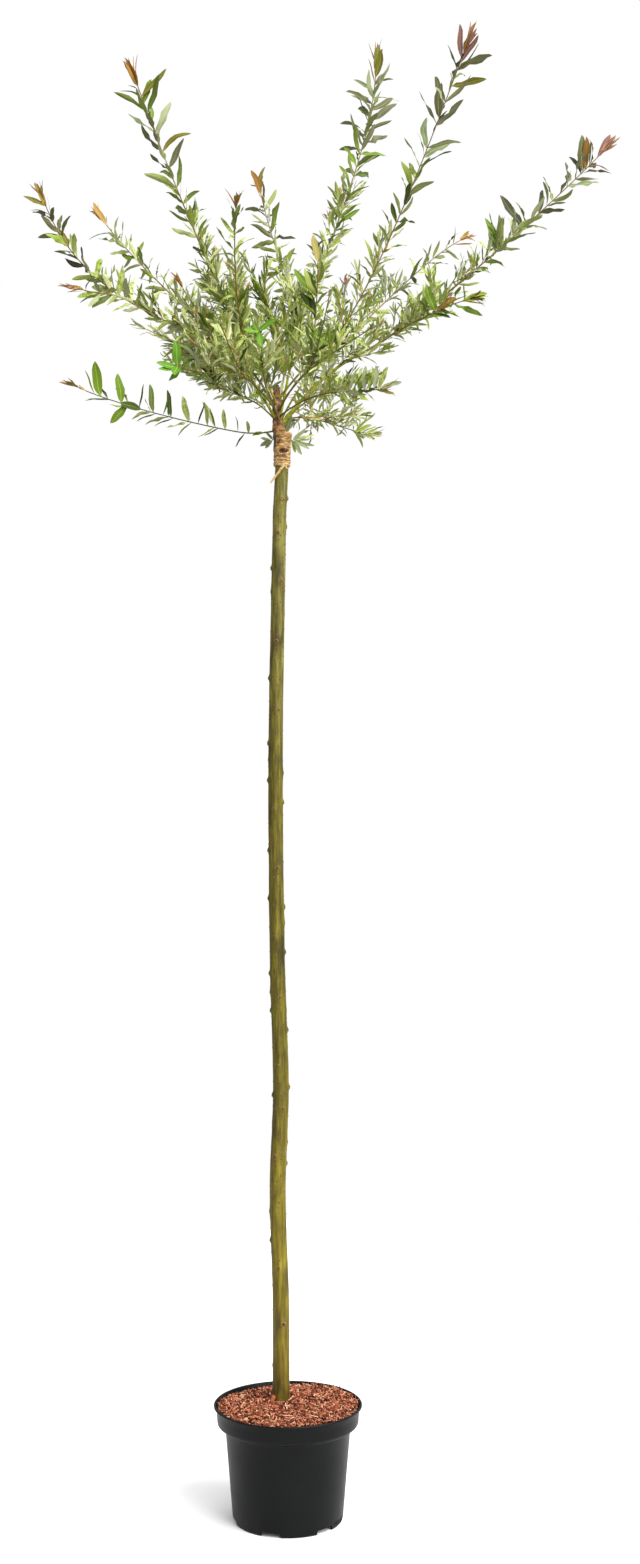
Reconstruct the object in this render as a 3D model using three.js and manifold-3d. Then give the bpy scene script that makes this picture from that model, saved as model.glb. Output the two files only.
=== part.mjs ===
// A dappled willow grafted as a small standard tree, standing in its nursery pot.
// Millimetres, +Z up. The origin is the middle of the pot's flat underside, +X is to the
// right and -Y is the front, from where the leaning tips and the tie are seen.
import * as THREE from "three";
import { mergeVertices } from "three/addons/utils/BufferGeometryUtils.js";
import Module from "manifold-3d";

const touchGap = 0.3; // left between neighbours that touch
const seatDepth = 3; // how far a bough reaches into its mass of leaves
const weldDistance = 1e-4; // vertices nearer than this are one
const capPower = 9; // keeps a limb's added thickness at its two ends

const pot = {
  height: 146,
  footRadius: 69.5,
  baseRadius: 70.5,
  baseBevel: 4,
  bodyRadius: 80,
  bodyTop: 117,
  collarFoot: 122,
  collarRadius: 90,
  collarTopRadius: 91.5,
  lipRadius: 94.7,
  lipDepth: 3,
  wall: 1.8,
  floor: 8,
  sides: 32,
};

const drain = { count: 6, firstTurn: -17, width: 26, reach: 22, height: 6 };

const bark = {
  rimTop: 140.5,
  stemTop: 141.7,
  flatRadius: 20,
  clear: 0.4,
  wave: 1.2,
  waveCount: 3,
  waveFoot: 132,
  waveReach: 21,
};

const stem = {
  foot: 142,
  top: 1384,
  footRadius: 11.9,
  flareRadius: 10.9,
  flareHeight: 30,
  midHeight: 800,
  midRadius: 9.6,
  topRadius: 8.5,
  depthAtFoot: 15,
  depthAtTop: 12,
  sides: 10,
  steps: 16,
};

// How far the stem's axis stands to the side of the pot's axis at each height.
const stemSway = [
  [142, -9],
  [278, -9.6],
  [418, -13.4],
  [546, -9.4],
  [712, -14],
  [980, -16],
  [1280, -11],
  [1384, -6.6],
];

const wrap = {
  foot: 1343,
  top: 1386.5,
  topSide: -7.2,
  footRadius: 10.2,
  topRadius: 11.8,
  sides: 14,
  steps: 1,
};

const tie = {
  top: 1342,
  side: 2.5,
  drop: 25,
  drift: -12.5,
  lean: -2,
  width: 4,
  thickness: 1.4,
  sides: 4,
  steps: 2,
};

const graft = {
  foot: 1384.3,
  top: 1448,
  side: -10.5,
  topSide: -14.8,
  depth: 12,
  footRadius: 8.8,
  waistRadius: 6,
  topRadius: 4.4,
  waistAt: 0.4,
  lump: 0.08,
  lumpCount: 3,
  lumpClimb: 9,
  sides: 9,
  steps: 5,
};

// The main boughs. Each leaves the graft at its height, rises by bow above the straight line
// at its middle, and ends at a place given as side, depth and height.
const boughs = {
  right: { leaves: 1394, end: [91, 25, 1490], bow: 11, radius: 3.3, tip: 2.4 },
  left: { leaves: 1395, end: [-63, -15, 1472], bow: 5, radius: 2.7, tip: 2 },
  centre: { leaves: 1400, end: [5, 20, 1486], bow: 0, radius: 2.6, tip: 2 },
  upper_left: { leaves: 1418, end: [-48, -20, 1487], bow: 4, radius: 2.5, tip: 1.9 },
  upper_right: { leaves: 1428, end: [43, -25, 1482], bow: 4, radius: 2.6, tip: 1.9 },
  low_left: { leaves: 1391, end: [-64, 0, 1386], bow: -3, radius: 1.9, tip: 1.5 },
  low_right: { leaves: 1402, end: [33, 50, 1412], bow: 3, radius: 1.9, tip: 1.5 },
  low_front: { leaves: 1407, end: [43, -60, 1422], bow: 4, radius: 1.9, tip: 1.4 },
  right_back: { leaves: 1420, end: [65, 80, 1515], bow: 7, radius: 2.3, tip: 1.8 },
  back: { leaves: 1410, end: [-3, 130, 1503], bow: 8, radius: 2.5, tip: 1.9 },
  back_left: { leaves: 1404, end: [-52, 110, 1488], bow: 8, radius: 2.4, tip: 1.8 },
  back_right: { leaves: 1398, end: [38, 120, 1493], bow: 8, radius: 2.4, tip: 1.8 },
  back_low_left: { leaves: 1397, end: [-57, 80, 1445], bow: 5, radius: 2, tip: 1.6 },
  back_low_right: { leaves: 1392, end: [36, 95, 1451], bow: 5, radius: 2, tip: 1.6 },
  front: { leaves: 1401, end: [-26, -60, 1430], bow: 3, radius: 2, tip: 1.6 },
  front_left: { leaves: 1410, end: [-50, -85, 1437], bow: 4, radius: 2.2, tip: 1.7 },
  front_right: { leaves: 1414, end: [24, -100, 1441], bow: 5, radius: 2.3, tip: 1.8 },
};

// The masses of leaves on the long wands. Each runs from the end of its bough, or from a
// place part way along another wand, to its tip, and passes to the side by sway and above by
// lift of the straight line at its middle.
const wands = {
  left: { from: "left", tip: [-302, -130, 1672], sway: -2, lift: -34, radius: 21 },
  left_back: { from: "left", tip: [-273, 170, 1729], sway: 5, lift: -12, radius: 20 },
  left_inner: { from: "left", tip: [-150, 40, 1608], sway: -2, lift: -8, radius: 19 },
  left_shoot: { from: "left", part: 0.55, tip: [-268, -150, 1543], sway: 0, lift: -4, radius: 13 },
  upper_left: { from: "upper_left", tip: [-196, -110, 1834], sway: -10, lift: 4, radius: 20 },
  centre_front: { from: "upper_left", tip: [-54, -190, 1643], sway: -12, lift: 6, radius: 18 },
  centre_back: { from: "centre", tip: [-46, 230, 1796], sway: 6, lift: 0, radius: 18 },
  upper_centre: { from: "centre", tip: [113, 150, 1947], sway: 20, lift: -9, radius: 20 },
  upper_right: { from: "upper_right", tip: [231, -140, 1862], sway: 9, lift: 0, radius: 20 },
  right: { from: "right", tip: [433, 50, 1784], sway: -1, lift: -18, radius: 22 },
  right_shoot: { from: "right", part: 0.12, tip: [253, -90, 1533], sway: 1, lift: 12, radius: 18 },
  right_back: { from: "right_back", tip: [259, 200, 1690], sway: -1, lift: 14, radius: 19 },
  low_left: { from: "low_left", tip: [-286, -60, 1445], sway: -4, lift: -8, radius: 14 },
  low_right: { from: "low_right", tip: [128, 140, 1412], sway: 1, lift: -6, radius: 15 },
  low_front: { from: "low_front", tip: [134, -150, 1414], sway: -1, lift: -1, radius: 16 },
  green_left: { from: "front_left", tip: [-157, -130, 1469], sway: -9, lift: -12, radius: 18 },
  green_front: { from: "front", tip: [-27, -200, 1485], sway: 2, lift: 5, radius: 18 },
  front_left: { from: "front_left", tip: [-90, -270, 1489], sway: -2, lift: 6, radius: 18 },
  front_right: { from: "front_right", tip: [52, -290, 1493], sway: 5, lift: 4, radius: 18 },
  front_far_right: { from: "front_right", tip: [99, -240, 1461], sway: 10, lift: 8, radius: 16 },
  yellow: { from: "front_right", tip: [26, -200, 1574], sway: 9, lift: 10, radius: 16 },
  back: { from: "back", tip: [12, 340, 1653], sway: -2, lift: 4, radius: 20 },
  back_left: { from: "back_left", tip: [-95, 300, 1683], sway: 0, lift: 2, radius: 20 },
  back_far_left: { from: "back_left", tip: [-142, 260, 1604], sway: -6, lift: 6, radius: 18 },
  back_right: { from: "back_right", tip: [77, 300, 1658], sway: 8, lift: 6, radius: 20 },
  back_low_left: { from: "back_low_left", tip: [-119, 220, 1500], sway: 0, lift: 4, radius: 17 },
  back_low_right: { from: "back_low_right", tip: [76, 240, 1496], sway: 1, lift: 3, radius: 17 },
};

// The close masses of short side shoots round the boughs, each from foot to crest.
const hearts = {
  left: { foot: [-62, -8, 1437], crest: [-98, 6, 1545], radius: 42 },
  right: { foot: [38, 10, 1448], crest: [112, 18, 1540], radius: 38 },
  middle: { foot: [-6, 24, 1466], crest: [4, 62, 1588], radius: 32 },
  back: { foot: [-8, 110, 1452], crest: [-6, 176, 1545], radius: 36 },
};

// Two short sprigs that hang from the graft behind the wrap.
const sprigs = {
  low_sprig_right: { leaves: 1396, tip: [38, 108, 1381], lift: 4, radius: 11 },
  low_sprig_left: { leaves: 1394, tip: [-54, 104, 1389], lift: 2, radius: 10 },
};

const leaveShare = 0.2; // of a wand's length, over which it still heads along its bough

// The lumpy shape of a mass of leaves, and how its lumps turn from one mass to the next.
const lumps = {
  wide: 1.15,
  slim: 0.6,
  slimPower: 1.3,
  size: 0.15,
  count: 3,
  climb: 5,
  wave: 0.12,
  waves: 13,
  wavePhase: 2,
  turn: { hearts: 1.7, wands: 2.1, sprigs: 1.3 },
};

const boughMesh = { sides: 6, steps: 4 };
const massMesh = { sides: 7, rings: 9 };
const heartMesh = { sides: 9, rings: 7 };
const sprigMesh = { sides: 6, rings: 6 };

const looks = {
  pot: { color: 0x1d2022, roughness: 0.5, metalness: 0 },
  bark: { color: 0x8d5238, roughness: 0.95, metalness: 0 },
  stem: { color: 0x72803a, roughness: 0.6, metalness: 0 },
  wrap: { color: 0xb8935a, roughness: 0.8, metalness: 0 },
  graft: { color: 0x6b5034, roughness: 0.9, metalness: 0 },
  bough: { color: 0x7a7a30, roughness: 0.7, metalness: 0 },
  leaves: { color: 0x7f9a62, roughness: 0.85, metalness: 0 },
};

const wasm = await Module();
wasm.setup();

const vec = ([side, depth, height]) => new THREE.Vector3(side, depth, height);

// Turns a closed geometry into a solid that can be joined and cut.
function solidOf(geometry) {
  const bare = geometry.clone();
  bare.deleteAttribute("normal");
  bare.deleteAttribute("uv");
  const merged = mergeVertices(bare, weldDistance);
  return new wasm.Manifold(
    new wasm.Mesh({
      numProp: 3,
      vertProperties: merged.attributes.position.array,
      triVerts: new Uint32Array(merged.index.array),
    }),
  );
}

function geometryOf(solid) {
  const mesh = solid.getMesh();
  const geometry = new THREE.BufferGeometry();
  geometry.setAttribute("position", new THREE.BufferAttribute(mesh.vertProperties, 3));
  geometry.setIndex(new THREE.BufferAttribute(mesh.triVerts, 1));
  geometry.computeVertexNormals();
  return geometry;
}

// A solid turned round the upright axis, from a profile of radius and height.
function turned(profile, sides) {
  const points = profile.map(([radius, height]) => new THREE.Vector2(radius, height));
  return new THREE.LatheGeometry(points, sides).rotateX(Math.PI / 2);
}

// The direction along a curve and two directions across it.
function crossFrame(curve, along) {
  const run = curve.getPoint(1).sub(curve.getPoint(0));
  const upright = Math.abs(run.z) > Math.hypot(run.x, run.y);
  const reference = upright ? new THREE.Vector3(0, 1, 0) : new THREE.Vector3(0, 0, 1);
  const ahead = curve.getTangent(along);
  const across = reference.cross(ahead).normalize();
  const over = across.clone().cross(ahead);
  return { ahead, across, over };
}

// Bends an upright unit rod or ball along a curve. radiusAt gives the radius from the
// fraction of the length and the angle round the curve, and grow thickens it all over.
function bentAlong(geometry, halfHeight, curve, radiusAt, grow) {
  const place = geometry.getAttribute("position");
  for (let i = 0; i < place.count; i += 1) {
    const x = place.getX(i);
    const z = place.getZ(i);
    const end = place.getY(i) / halfHeight;
    const along = Math.min(1, Math.max(0, (end + 1) / 2));
    const { ahead, across, over } = crossFrame(curve, along);
    const radius = radiusAt(along, Math.atan2(z, x)) + grow;
    const point = curve.getPoint(along);
    point.addScaledVector(across, x * radius);
    point.addScaledVector(over, z * radius);
    point.addScaledVector(ahead, grow * end ** capPower);
    place.setXYZ(i, point.x, point.y, point.z);
  }
  return solidOf(geometry);
}

function limbSolid(curve, radiusAt, { sides, steps }, grow = 0) {
  const rod = new THREE.CylinderGeometry(1, 1, 1, sides, steps);
  return bentAlong(rod, 0.5, curve, radiusAt, grow);
}

function spindleSolid(curve, radiusAt, { sides, rings }, grow = 0) {
  const ball = new THREE.SphereGeometry(1, sides, rings);
  return bentAlong(ball, 1, curve, radiusAt, grow);
}

// A curve through a middle point, worked out from its two ends and that point.
function curveThrough(start, middle, end) {
  const control = middle.clone().multiplyScalar(2);
  control.addScaledVector(start, -0.5);
  control.addScaledVector(end, -0.5);
  return new THREE.QuadraticBezierCurve3(start, control, end);
}

// The largest of the pieces that a cut leaves.
function largestPiece(solid) {
  const pieces = solid.decompose();
  return pieces.reduce((best, piece) => (piece.volume() > best.volume() ? piece : best));
}

function boxesMeet(first, second) {
  const a = first.boundingBox();
  const b = second.boundingBox();
  return [0, 1, 2].every((axis) => a.min[axis] < b.max[axis] && b.min[axis] < a.max[axis]);
}

// The space round each finished piece, which its later neighbours keep out of.
const rooms = [];

// Adds a piece to its group, cut clear of all the pieces placed before it.
function place(group, name, look, build) {
  let solid = build(0);
  for (const room of rooms) {
    if (boxesMeet(solid, room)) {
      solid = solid.subtract(room);
    }
  }
  solid = largestPiece(solid);
  rooms.push(build(touchGap));
  const mesh = new THREE.Mesh(geometryOf(solid), new THREE.MeshStandardMaterial(looks[look]));
  mesh.name = name;
  group.add(mesh);
}

// The pot: a tapered body with a wide collar, a rolled lip, and drain notches in its foot.
function potSolid(grow) {
  const inner = pot.wall + grow;
  const profile = [
    [0, -grow],
    [pot.footRadius + grow, -grow],
    [pot.baseRadius + grow, pot.baseBevel],
    [pot.bodyRadius + grow, pot.bodyTop],
    [pot.collarRadius + grow, pot.collarFoot - grow],
    [pot.collarTopRadius + grow, pot.height - pot.lipDepth],
    [pot.lipRadius + grow, pot.height - pot.lipDepth],
    [pot.lipRadius + grow, pot.height + grow],
    [pot.collarTopRadius - inner, pot.height + grow],
    [pot.collarRadius - inner, pot.collarFoot + pot.wall],
    [pot.bodyRadius - inner, pot.bodyTop + pot.wall],
    [pot.baseRadius - inner, pot.floor + grow],
    [0, pot.floor + grow],
  ];
  let solid = solidOf(turned(profile, pot.sides));
  for (let i = 0; i < drain.count; i += 1) {
    const notch = new THREE.BoxGeometry(drain.width, drain.reach * 2, drain.height * 2);
    notch.translate(0, -pot.baseRadius, 0);
    notch.rotateZ(THREE.MathUtils.degToRad(drain.firstTurn + (i * 360) / drain.count));
    solid = solid.subtract(solidOf(notch));
  }
  return solid;
}

// The bark chips: they fill the pot, a little lower at its wall than at the stem.
function barkSolid() {
  const clear = pot.wall + bark.clear;
  const profile = [
    [0, pot.floor + bark.clear],
    [pot.baseRadius - clear, pot.floor + bark.clear],
    [pot.bodyRadius - clear, pot.bodyTop + pot.wall],
    [pot.collarRadius - clear, pot.collarFoot + pot.wall + bark.clear],
    [pot.collarTopRadius - clear, bark.rimTop],
    [(pot.collarTopRadius + bark.flatRadius) / 2, (bark.rimTop + bark.stemTop) / 2],
    [bark.flatRadius, bark.stemTop],
    [0, bark.stemTop],
  ];
  const heap = turned(profile, pot.sides);
  const spot = heap.getAttribute("position");
  for (let i = 0; i < spot.count; i += 1) {
    const reach = Math.hypot(spot.getX(i), spot.getY(i));
    const open = spot.getZ(i) > bark.waveFoot && reach > bark.waveReach;
    if (open) {
      const turn = Math.atan2(spot.getY(i), spot.getX(i));
      spot.setZ(i, spot.getZ(i) + bark.wave * Math.sin(bark.waveCount * turn + reach));
    }
  }
  return solidOf(heap);
}

const stemCurve = new THREE.CatmullRomCurve3(
  stemSway.map(([height, side]) => {
    const up = (height - stem.foot) / (stem.top - stem.foot);
    return vec([side, THREE.MathUtils.lerp(stem.depthAtFoot, stem.depthAtTop, up), height]);
  }),
);

function stemRadius(height) {
  const mid = stem.midHeight - stem.foot;
  const above = Math.max(0, height - stem.midHeight) / (stem.top - stem.midHeight);
  const below = Math.max(0, stem.midHeight - height) / mid;
  const flare = Math.max(0, 1 - (height - stem.foot) / stem.flareHeight);
  const taper = above > 0 ? THREE.MathUtils.lerp(stem.midRadius, stem.topRadius, above) : 0;
  const base = taper || THREE.MathUtils.lerp(stem.midRadius, stem.flareRadius, below);
  return base + (stem.footRadius - stem.flareRadius) * flare;
}

// The stem's axis at a height, found by halving the stretch that holds it.
function stemAxis(height) {
  const halvings = 30;
  let low = 0;
  let high = 1;
  for (let i = 0; i < halvings; i += 1) {
    const middle = (low + high) / 2;
    if (stemCurve.getPoint(middle).z < height) {
      low = middle;
    } else {
      high = middle;
    }
  }
  return stemCurve.getPoint(low);
}

function stemSolid(grow) {
  return limbSolid(stemCurve, (along) => stemRadius(stemCurve.getPoint(along).z), stem, grow);
}

// The wrap of tape round the graft, wider at its top.
function wrapSolid(grow) {
  const run = new THREE.LineCurve3(stemAxis(wrap.foot), vec([wrap.topSide, graft.depth, wrap.top]));
  const radiusAt = (along) => THREE.MathUtils.lerp(wrap.footRadius, wrap.topRadius, along);
  return limbSolid(run, radiusAt, wrap, grow);
}

// The loose end of the tie, a flat strip that hangs from the front of the wrap.
function tieSolid(grow) {
  const knot = stemAxis(tie.top);
  knot.x += tie.side;
  knot.y -= stemRadius(tie.top) + touchGap * 2 + tie.thickness;
  const loose = knot.clone().add(vec([tie.drift, tie.lean, -tie.drop]));
  const outline = new THREE.Shape();
  outline.absellipse(0, 0, tie.width / 2 + grow, tie.thickness / 2 + grow, 0, Math.PI * 2);
  const strip = new THREE.ExtrudeGeometry(outline, {
    curveSegments: tie.sides,
    steps: tie.steps,
    bevelEnabled: false,
    depth: knot.distanceTo(loose),
  });
  const turn = new THREE.Quaternion().setFromUnitVectors(
    vec([0, 0, 1]),
    loose.clone().sub(knot).normalize(),
  );
  strip.applyQuaternion(turn);
  strip.translate(knot.x, knot.y, knot.z);
  return solidOf(strip);
}

// The graft's axis at a height, on the old stub that the boughs grow from.
function graftAxis(height) {
  const up = (height - graft.foot) / (graft.top - graft.foot);
  return vec([THREE.MathUtils.lerp(graft.side, graft.topSide, up), graft.depth, height]);
}

function graftSolid(grow) {
  const run = new THREE.LineCurve3(graftAxis(graft.foot), graftAxis(graft.top));
  const radiusAt = (along, turn) => {
    const rise = Math.min(1, along / graft.waistAt);
    const foot = THREE.MathUtils.lerp(graft.footRadius, graft.waistRadius, rise);
    const stub = THREE.MathUtils.lerp(graft.waistRadius, graft.topRadius, along);
    const knuckle = graft.lump * Math.sin(graft.lumpCount * turn + graft.lumpClimb * along);
    return (along < graft.waistAt ? foot : stub) * (1 + knuckle);
  };
  return limbSolid(run, radiusAt, graft, grow);
}

function boughCurve(name) {
  const { leaves, end, bow } = boughs[name];
  const start = graftAxis(leaves);
  const last = vec(end);
  const middle = start.clone().lerp(last, 0.5).add(vec([0, 0, bow]));
  return curveThrough(start, middle, last);
}

// A wand leaves along its bough's own direction, passes its middle point and ends at its tip.
function wandCurve(name) {
  const { from, part, tip, sway, lift } = wands[name];
  const parent = part ? wandCurve(from) : boughCurve(from);
  const start = parent.getPoint(part ?? 1);
  const last = vec(tip);
  const middle = start.clone().lerp(last, 0.5).add(vec([sway, 0, lift]));
  const leave = parent.getTangent(part ?? 1).multiplyScalar(leaveShare * start.distanceTo(last));
  const first = start.clone().add(leave);
  const second = middle.clone().multiplyScalar(8).sub(start).sub(last);
  second.addScaledVector(first, -3).divideScalar(3);
  return new THREE.CubicBezierCurve3(start, first, second, last);
}

function boughSolid(name, grow) {
  const { radius, tip, end } = boughs[name];
  const curve = boughCurve(name);
  curve.v2 = vec(end).addScaledVector(curve.getTangent(1), seatDepth);
  return limbSolid(curve, (along) => THREE.MathUtils.lerp(radius, tip, along), boughMesh, grow);
}

// Leaf masses are widest at a third of their length and lumpy in a way of their own.
function leafRadius(radius, phase) {
  return (along, turn) => {
    const slim = lumps.wide - lumps.slim * along ** lumps.slimPower;
    const lump = lumps.size * Math.sin(lumps.count * turn + phase + lumps.climb * along);
    const wave = lumps.wave * Math.sin(lumps.waves * along + lumps.wavePhase * phase);
    return radius * slim * (1 + lump + wave);
  };
}

function wandSolid(name, phase, grow) {
  return spindleSolid(wandCurve(name), leafRadius(wands[name].radius, phase), massMesh, grow);
}

function heartSolid(name, phase, grow) {
  const { foot, crest, radius } = hearts[name];
  const run = new THREE.LineCurve3(vec(foot), vec(crest));
  return spindleSolid(run, leafRadius(radius, phase), heartMesh, grow);
}

function sprigSolid(name, phase, grow) {
  const { leaves, tip, lift, radius } = sprigs[name];
  const start = graftAxis(leaves);
  const last = vec(tip);
  const middle = start.clone().lerp(last, 0.5).add(vec([0, 0, lift]));
  const run = curveThrough(start, middle, last);
  return spindleSolid(run, leafRadius(radius, phase), sprigMesh, grow);
}

const plant = new THREE.Group();
const potGroup = new THREE.Group();
const stemGroup = new THREE.Group();
const crownGroup = new THREE.Group();
plant.add(potGroup, stemGroup, crownGroup);

place(potGroup, "pot", "pot", potSolid);
place(potGroup, "bark_chips", "bark", barkSolid);
place(stemGroup, "stem", "stem", stemSolid);
place(stemGroup, "graft_wrap", "wrap", wrapSolid);
place(stemGroup, "tie", "wrap", tieSolid);
place(stemGroup, "graft", "graft", graftSolid);
for (const name of Object.keys(boughs)) {
  place(crownGroup, `bough_${name}`, "bough", (grow) => boughSolid(name, grow));
}
Object.keys(hearts).forEach((name, i) => {
  const phase = lumps.turn.hearts * i;
  place(crownGroup, `leaves_heart_${name}`, "leaves", (grow) => heartSolid(name, phase, grow));
});
Object.keys(wands).forEach((name, i) => {
  const phase = lumps.turn.wands * i;
  place(crownGroup, `leaves_${name}`, "leaves", (grow) => wandSolid(name, phase, grow));
});
Object.keys(sprigs).forEach((name, i) => {
  const phase = lumps.turn.sprigs * i;
  place(crownGroup, `leaves_${name}`, "leaves", (grow) => sprigSolid(name, phase, grow));
});

export default plant;
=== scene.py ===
import math
import random

import bmesh
import bpy
import numpy as np
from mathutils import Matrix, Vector, noise


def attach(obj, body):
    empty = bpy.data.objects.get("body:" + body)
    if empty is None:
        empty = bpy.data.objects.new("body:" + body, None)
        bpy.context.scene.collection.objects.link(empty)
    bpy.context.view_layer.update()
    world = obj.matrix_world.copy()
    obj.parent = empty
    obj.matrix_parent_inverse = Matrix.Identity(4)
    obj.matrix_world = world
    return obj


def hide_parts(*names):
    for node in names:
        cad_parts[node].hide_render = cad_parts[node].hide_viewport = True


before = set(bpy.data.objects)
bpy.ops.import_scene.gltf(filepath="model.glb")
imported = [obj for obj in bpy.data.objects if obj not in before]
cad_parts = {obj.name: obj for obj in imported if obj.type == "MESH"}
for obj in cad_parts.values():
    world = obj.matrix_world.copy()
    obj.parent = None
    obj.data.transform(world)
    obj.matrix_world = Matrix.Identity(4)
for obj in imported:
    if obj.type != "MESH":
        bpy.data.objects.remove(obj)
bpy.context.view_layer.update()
print("frame loaded:", len(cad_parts), "nodes")

dice = random.Random(41)
up = np.array((0.0, 0.0, 1.0))
goldenTurn = math.radians(137.5)
anyTurn = (0, 6.28)  # a turn picked anywhere round a shoot


# Small tools that every piece uses

def objectMode():
    if bpy.context.object and bpy.context.object.mode != "OBJECT":
        bpy.ops.object.mode_set(mode="OBJECT")


def pick(*pieces):
    objectMode()
    bpy.ops.object.select_all(action="DESELECT")
    for piece in pieces:
        piece.select_set(True)
        bpy.context.view_layer.objects.active = piece


def edit(piece):
    # opens a piece with all of it selected
    pick(piece)
    bpy.ops.object.mode_set(mode="EDIT")
    bpy.ops.mesh.select_all(action="SELECT")


def facesOut(piece):
    edit(piece)
    bpy.ops.mesh.normals_make_consistent(inside=False)
    objectMode()


def choose(piece, kind, test):
    # kind is VERT or EDGE, and test says which of them are selected
    bpy.ops.mesh.select_mode(type=kind)
    bpy.ops.mesh.select_all(action="DESELECT")
    shape = bmesh.from_edit_mesh(piece.data)
    for item in shape.verts if kind == "VERT" else shape.edges:
        if test(item):
            item.select_set(True)
    shape.select_flush_mode()
    bmesh.update_edit_mesh(piece.data)


def cutAlong(piece, axis, cuts):
    # cuts across the edges that run along an axis
    choose(piece, "EDGE", lambda edge: abs(edge.verts[0].co[axis] - edge.verts[1].co[axis]) > 1e-4)
    bpy.ops.mesh.subdivide(number_cuts=cuts)


def drawRim(steps):
    # draws the chosen rim up in steps, each a rise and the growth of its radius, and closes it
    for rise, grow in steps:
        bpy.ops.mesh.extrude_edges_move(TRANSFORM_OT_translate={"value": (0, 0, rise)})
        bpy.ops.transform.resize(value=(grow, grow, 1), center_override=(0, 0, 0))
    bpy.ops.mesh.edge_face_add()


def added(name):
    piece = bpy.context.object
    piece.name = name
    piece.data.name = name
    return piece


def settle(piece, smoothAngle=None):
    # the place goes into the mesh, and the modifiers are applied in their order
    pick(piece)
    bpy.ops.object.transform_apply(location=True, rotation=True, scale=True)
    for modifier in list(piece.modifiers):
        bpy.ops.object.modifier_apply(modifier=modifier.name)
    if smoothAngle is not None:
        bpy.ops.object.shade_smooth_by_angle(angle=math.radians(smoothAngle))
    return piece


def joined(name, pieces, smoothAngle=None):
    pick(*pieces)
    bpy.ops.object.join()
    return settle(added(name), smoothAngle)


def putOn(piece, slot, nodes, *materials):
    # a finished piece gets its materials, its body and the nodes that it stands for
    for material in materials:
        piece.data.materials.append(material)
    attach(piece, "root")
    if nodes:
        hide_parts(*nodes)


def unit(vector):
    return vector / max(1e-9, float(np.linalg.norm(vector)))


def mix(low, high, share):
    return low + (high - low) * min(1.0, max(0.0, share))


def apart(turn, facing):
    # the angle between two turns, at most half a turn either way
    return (turn - facing + math.pi) % (2 * math.pi) - math.pi


def ringNoise(turn, reach, height):
    # noise that closes on itself round a limb
    return noise.noise(Vector((math.cos(turn) * reach, math.sin(turn) * reach, height)))


def straightUp(points):
    # a side way and a back way for each point of a line, carried along it without twisting
    tangents = np.gradient(points, axis=0)
    tangents /= np.linalg.norm(tangents, axis=1)[:, None]
    start = np.array((1.0, 0.0, 0.0)) if abs(tangents[0][0]) < 0.8 else np.array((0.0, 1.0, 0.0))
    sides = [unit(start - tangents[0] * (start @ tangents[0]))]
    for tangent in tangents[1:]:
        sides.append(unit(sides[-1] - tangent * (sides[-1] @ tangent)))
    sides = np.array(sides)
    return sides, np.cross(tangents, sides)


def between(values, share):
    # reads a list of rows at a share from 0 to 1 of its length
    spot = min(1.0, max(0.0, share)) * (len(values) - 1)
    low = min(int(spot), len(values) - 2)
    return values[low] + (values[low + 1] - values[low]) * (spot - low)


def longOf(line):
    return float(np.linalg.norm(np.diff(line, axis=0), axis=1).sum())


def cutShort(line, share):
    # the first part of a line, with its points spaced evenly
    run = np.append(0, np.cumsum(np.linalg.norm(np.diff(line, axis=0), axis=1)))
    places = np.linspace(0, run[-1] * share, len(line))
    return np.stack([np.interp(places, run, line[:, i]) for i in range(3)], 1)


def limbAlong(name, points, radiusAt, sides, rings):
    # a cylinder is cut into rings in edit mode, and the rings are then laid along the line
    pick()
    bpy.ops.mesh.primitive_cylinder_add(vertices=sides, radius=1, depth=1, location=(0, 0, 0.5))
    piece = settle(added(name))
    edit(piece)
    left = rings
    while left > 1:
        cuts = min(left, 50)
        cutAlong(piece, 2, cuts - 1)
        left = math.ceil(left / cuts)
    objectMode()
    across, behind = straightUp(points)
    for vertex in piece.data.vertices:
        x, y, share = vertex.co
        turn = math.atan2(y, x)
        reach = radiusAt(share, turn)
        spot = between(points, share) + between(across, share) * reach * math.cos(turn)
        vertex.co = spot + between(behind, share) * reach * math.sin(turn)
    return settle(piece, 50)


def bezier(controls, count):
    shares = np.linspace(0, 1, count)[:, None]
    rows = [np.repeat(np.array(control, float)[None], count, 0) for control in controls]
    while len(rows) > 1:
        rows = [low * (1 - shares) + high * shares for low, high in zip(rows, rows[1:])]
    return rows[0]


# What repeats is modelled once, read as a pattern and laid out as one joined mesh of copies

meshRows = {  # what a pattern keeps of a mesh: where it is read, how wide its rows are and their kind
    "spots": ("vertices", "co", 3, np.float32),
    "edges": ("edges", "vertices", 2, np.int32),
    "corners": ("loops", "vertex_index", 1, np.int32),
    "cornerEdges": ("loops", "edge_index", 1, np.int32),
    "starts": ("polygons", "loop_start", 1, np.int32),
    "slots": ("polygons", "material_index", 1, np.int32),
}


def numbers(items, what, width, kind):
    found = np.empty(len(items) * width, kind)
    items.foreach_get(what, found)
    return found.reshape(-1, width) if width > 1 else found


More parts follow.
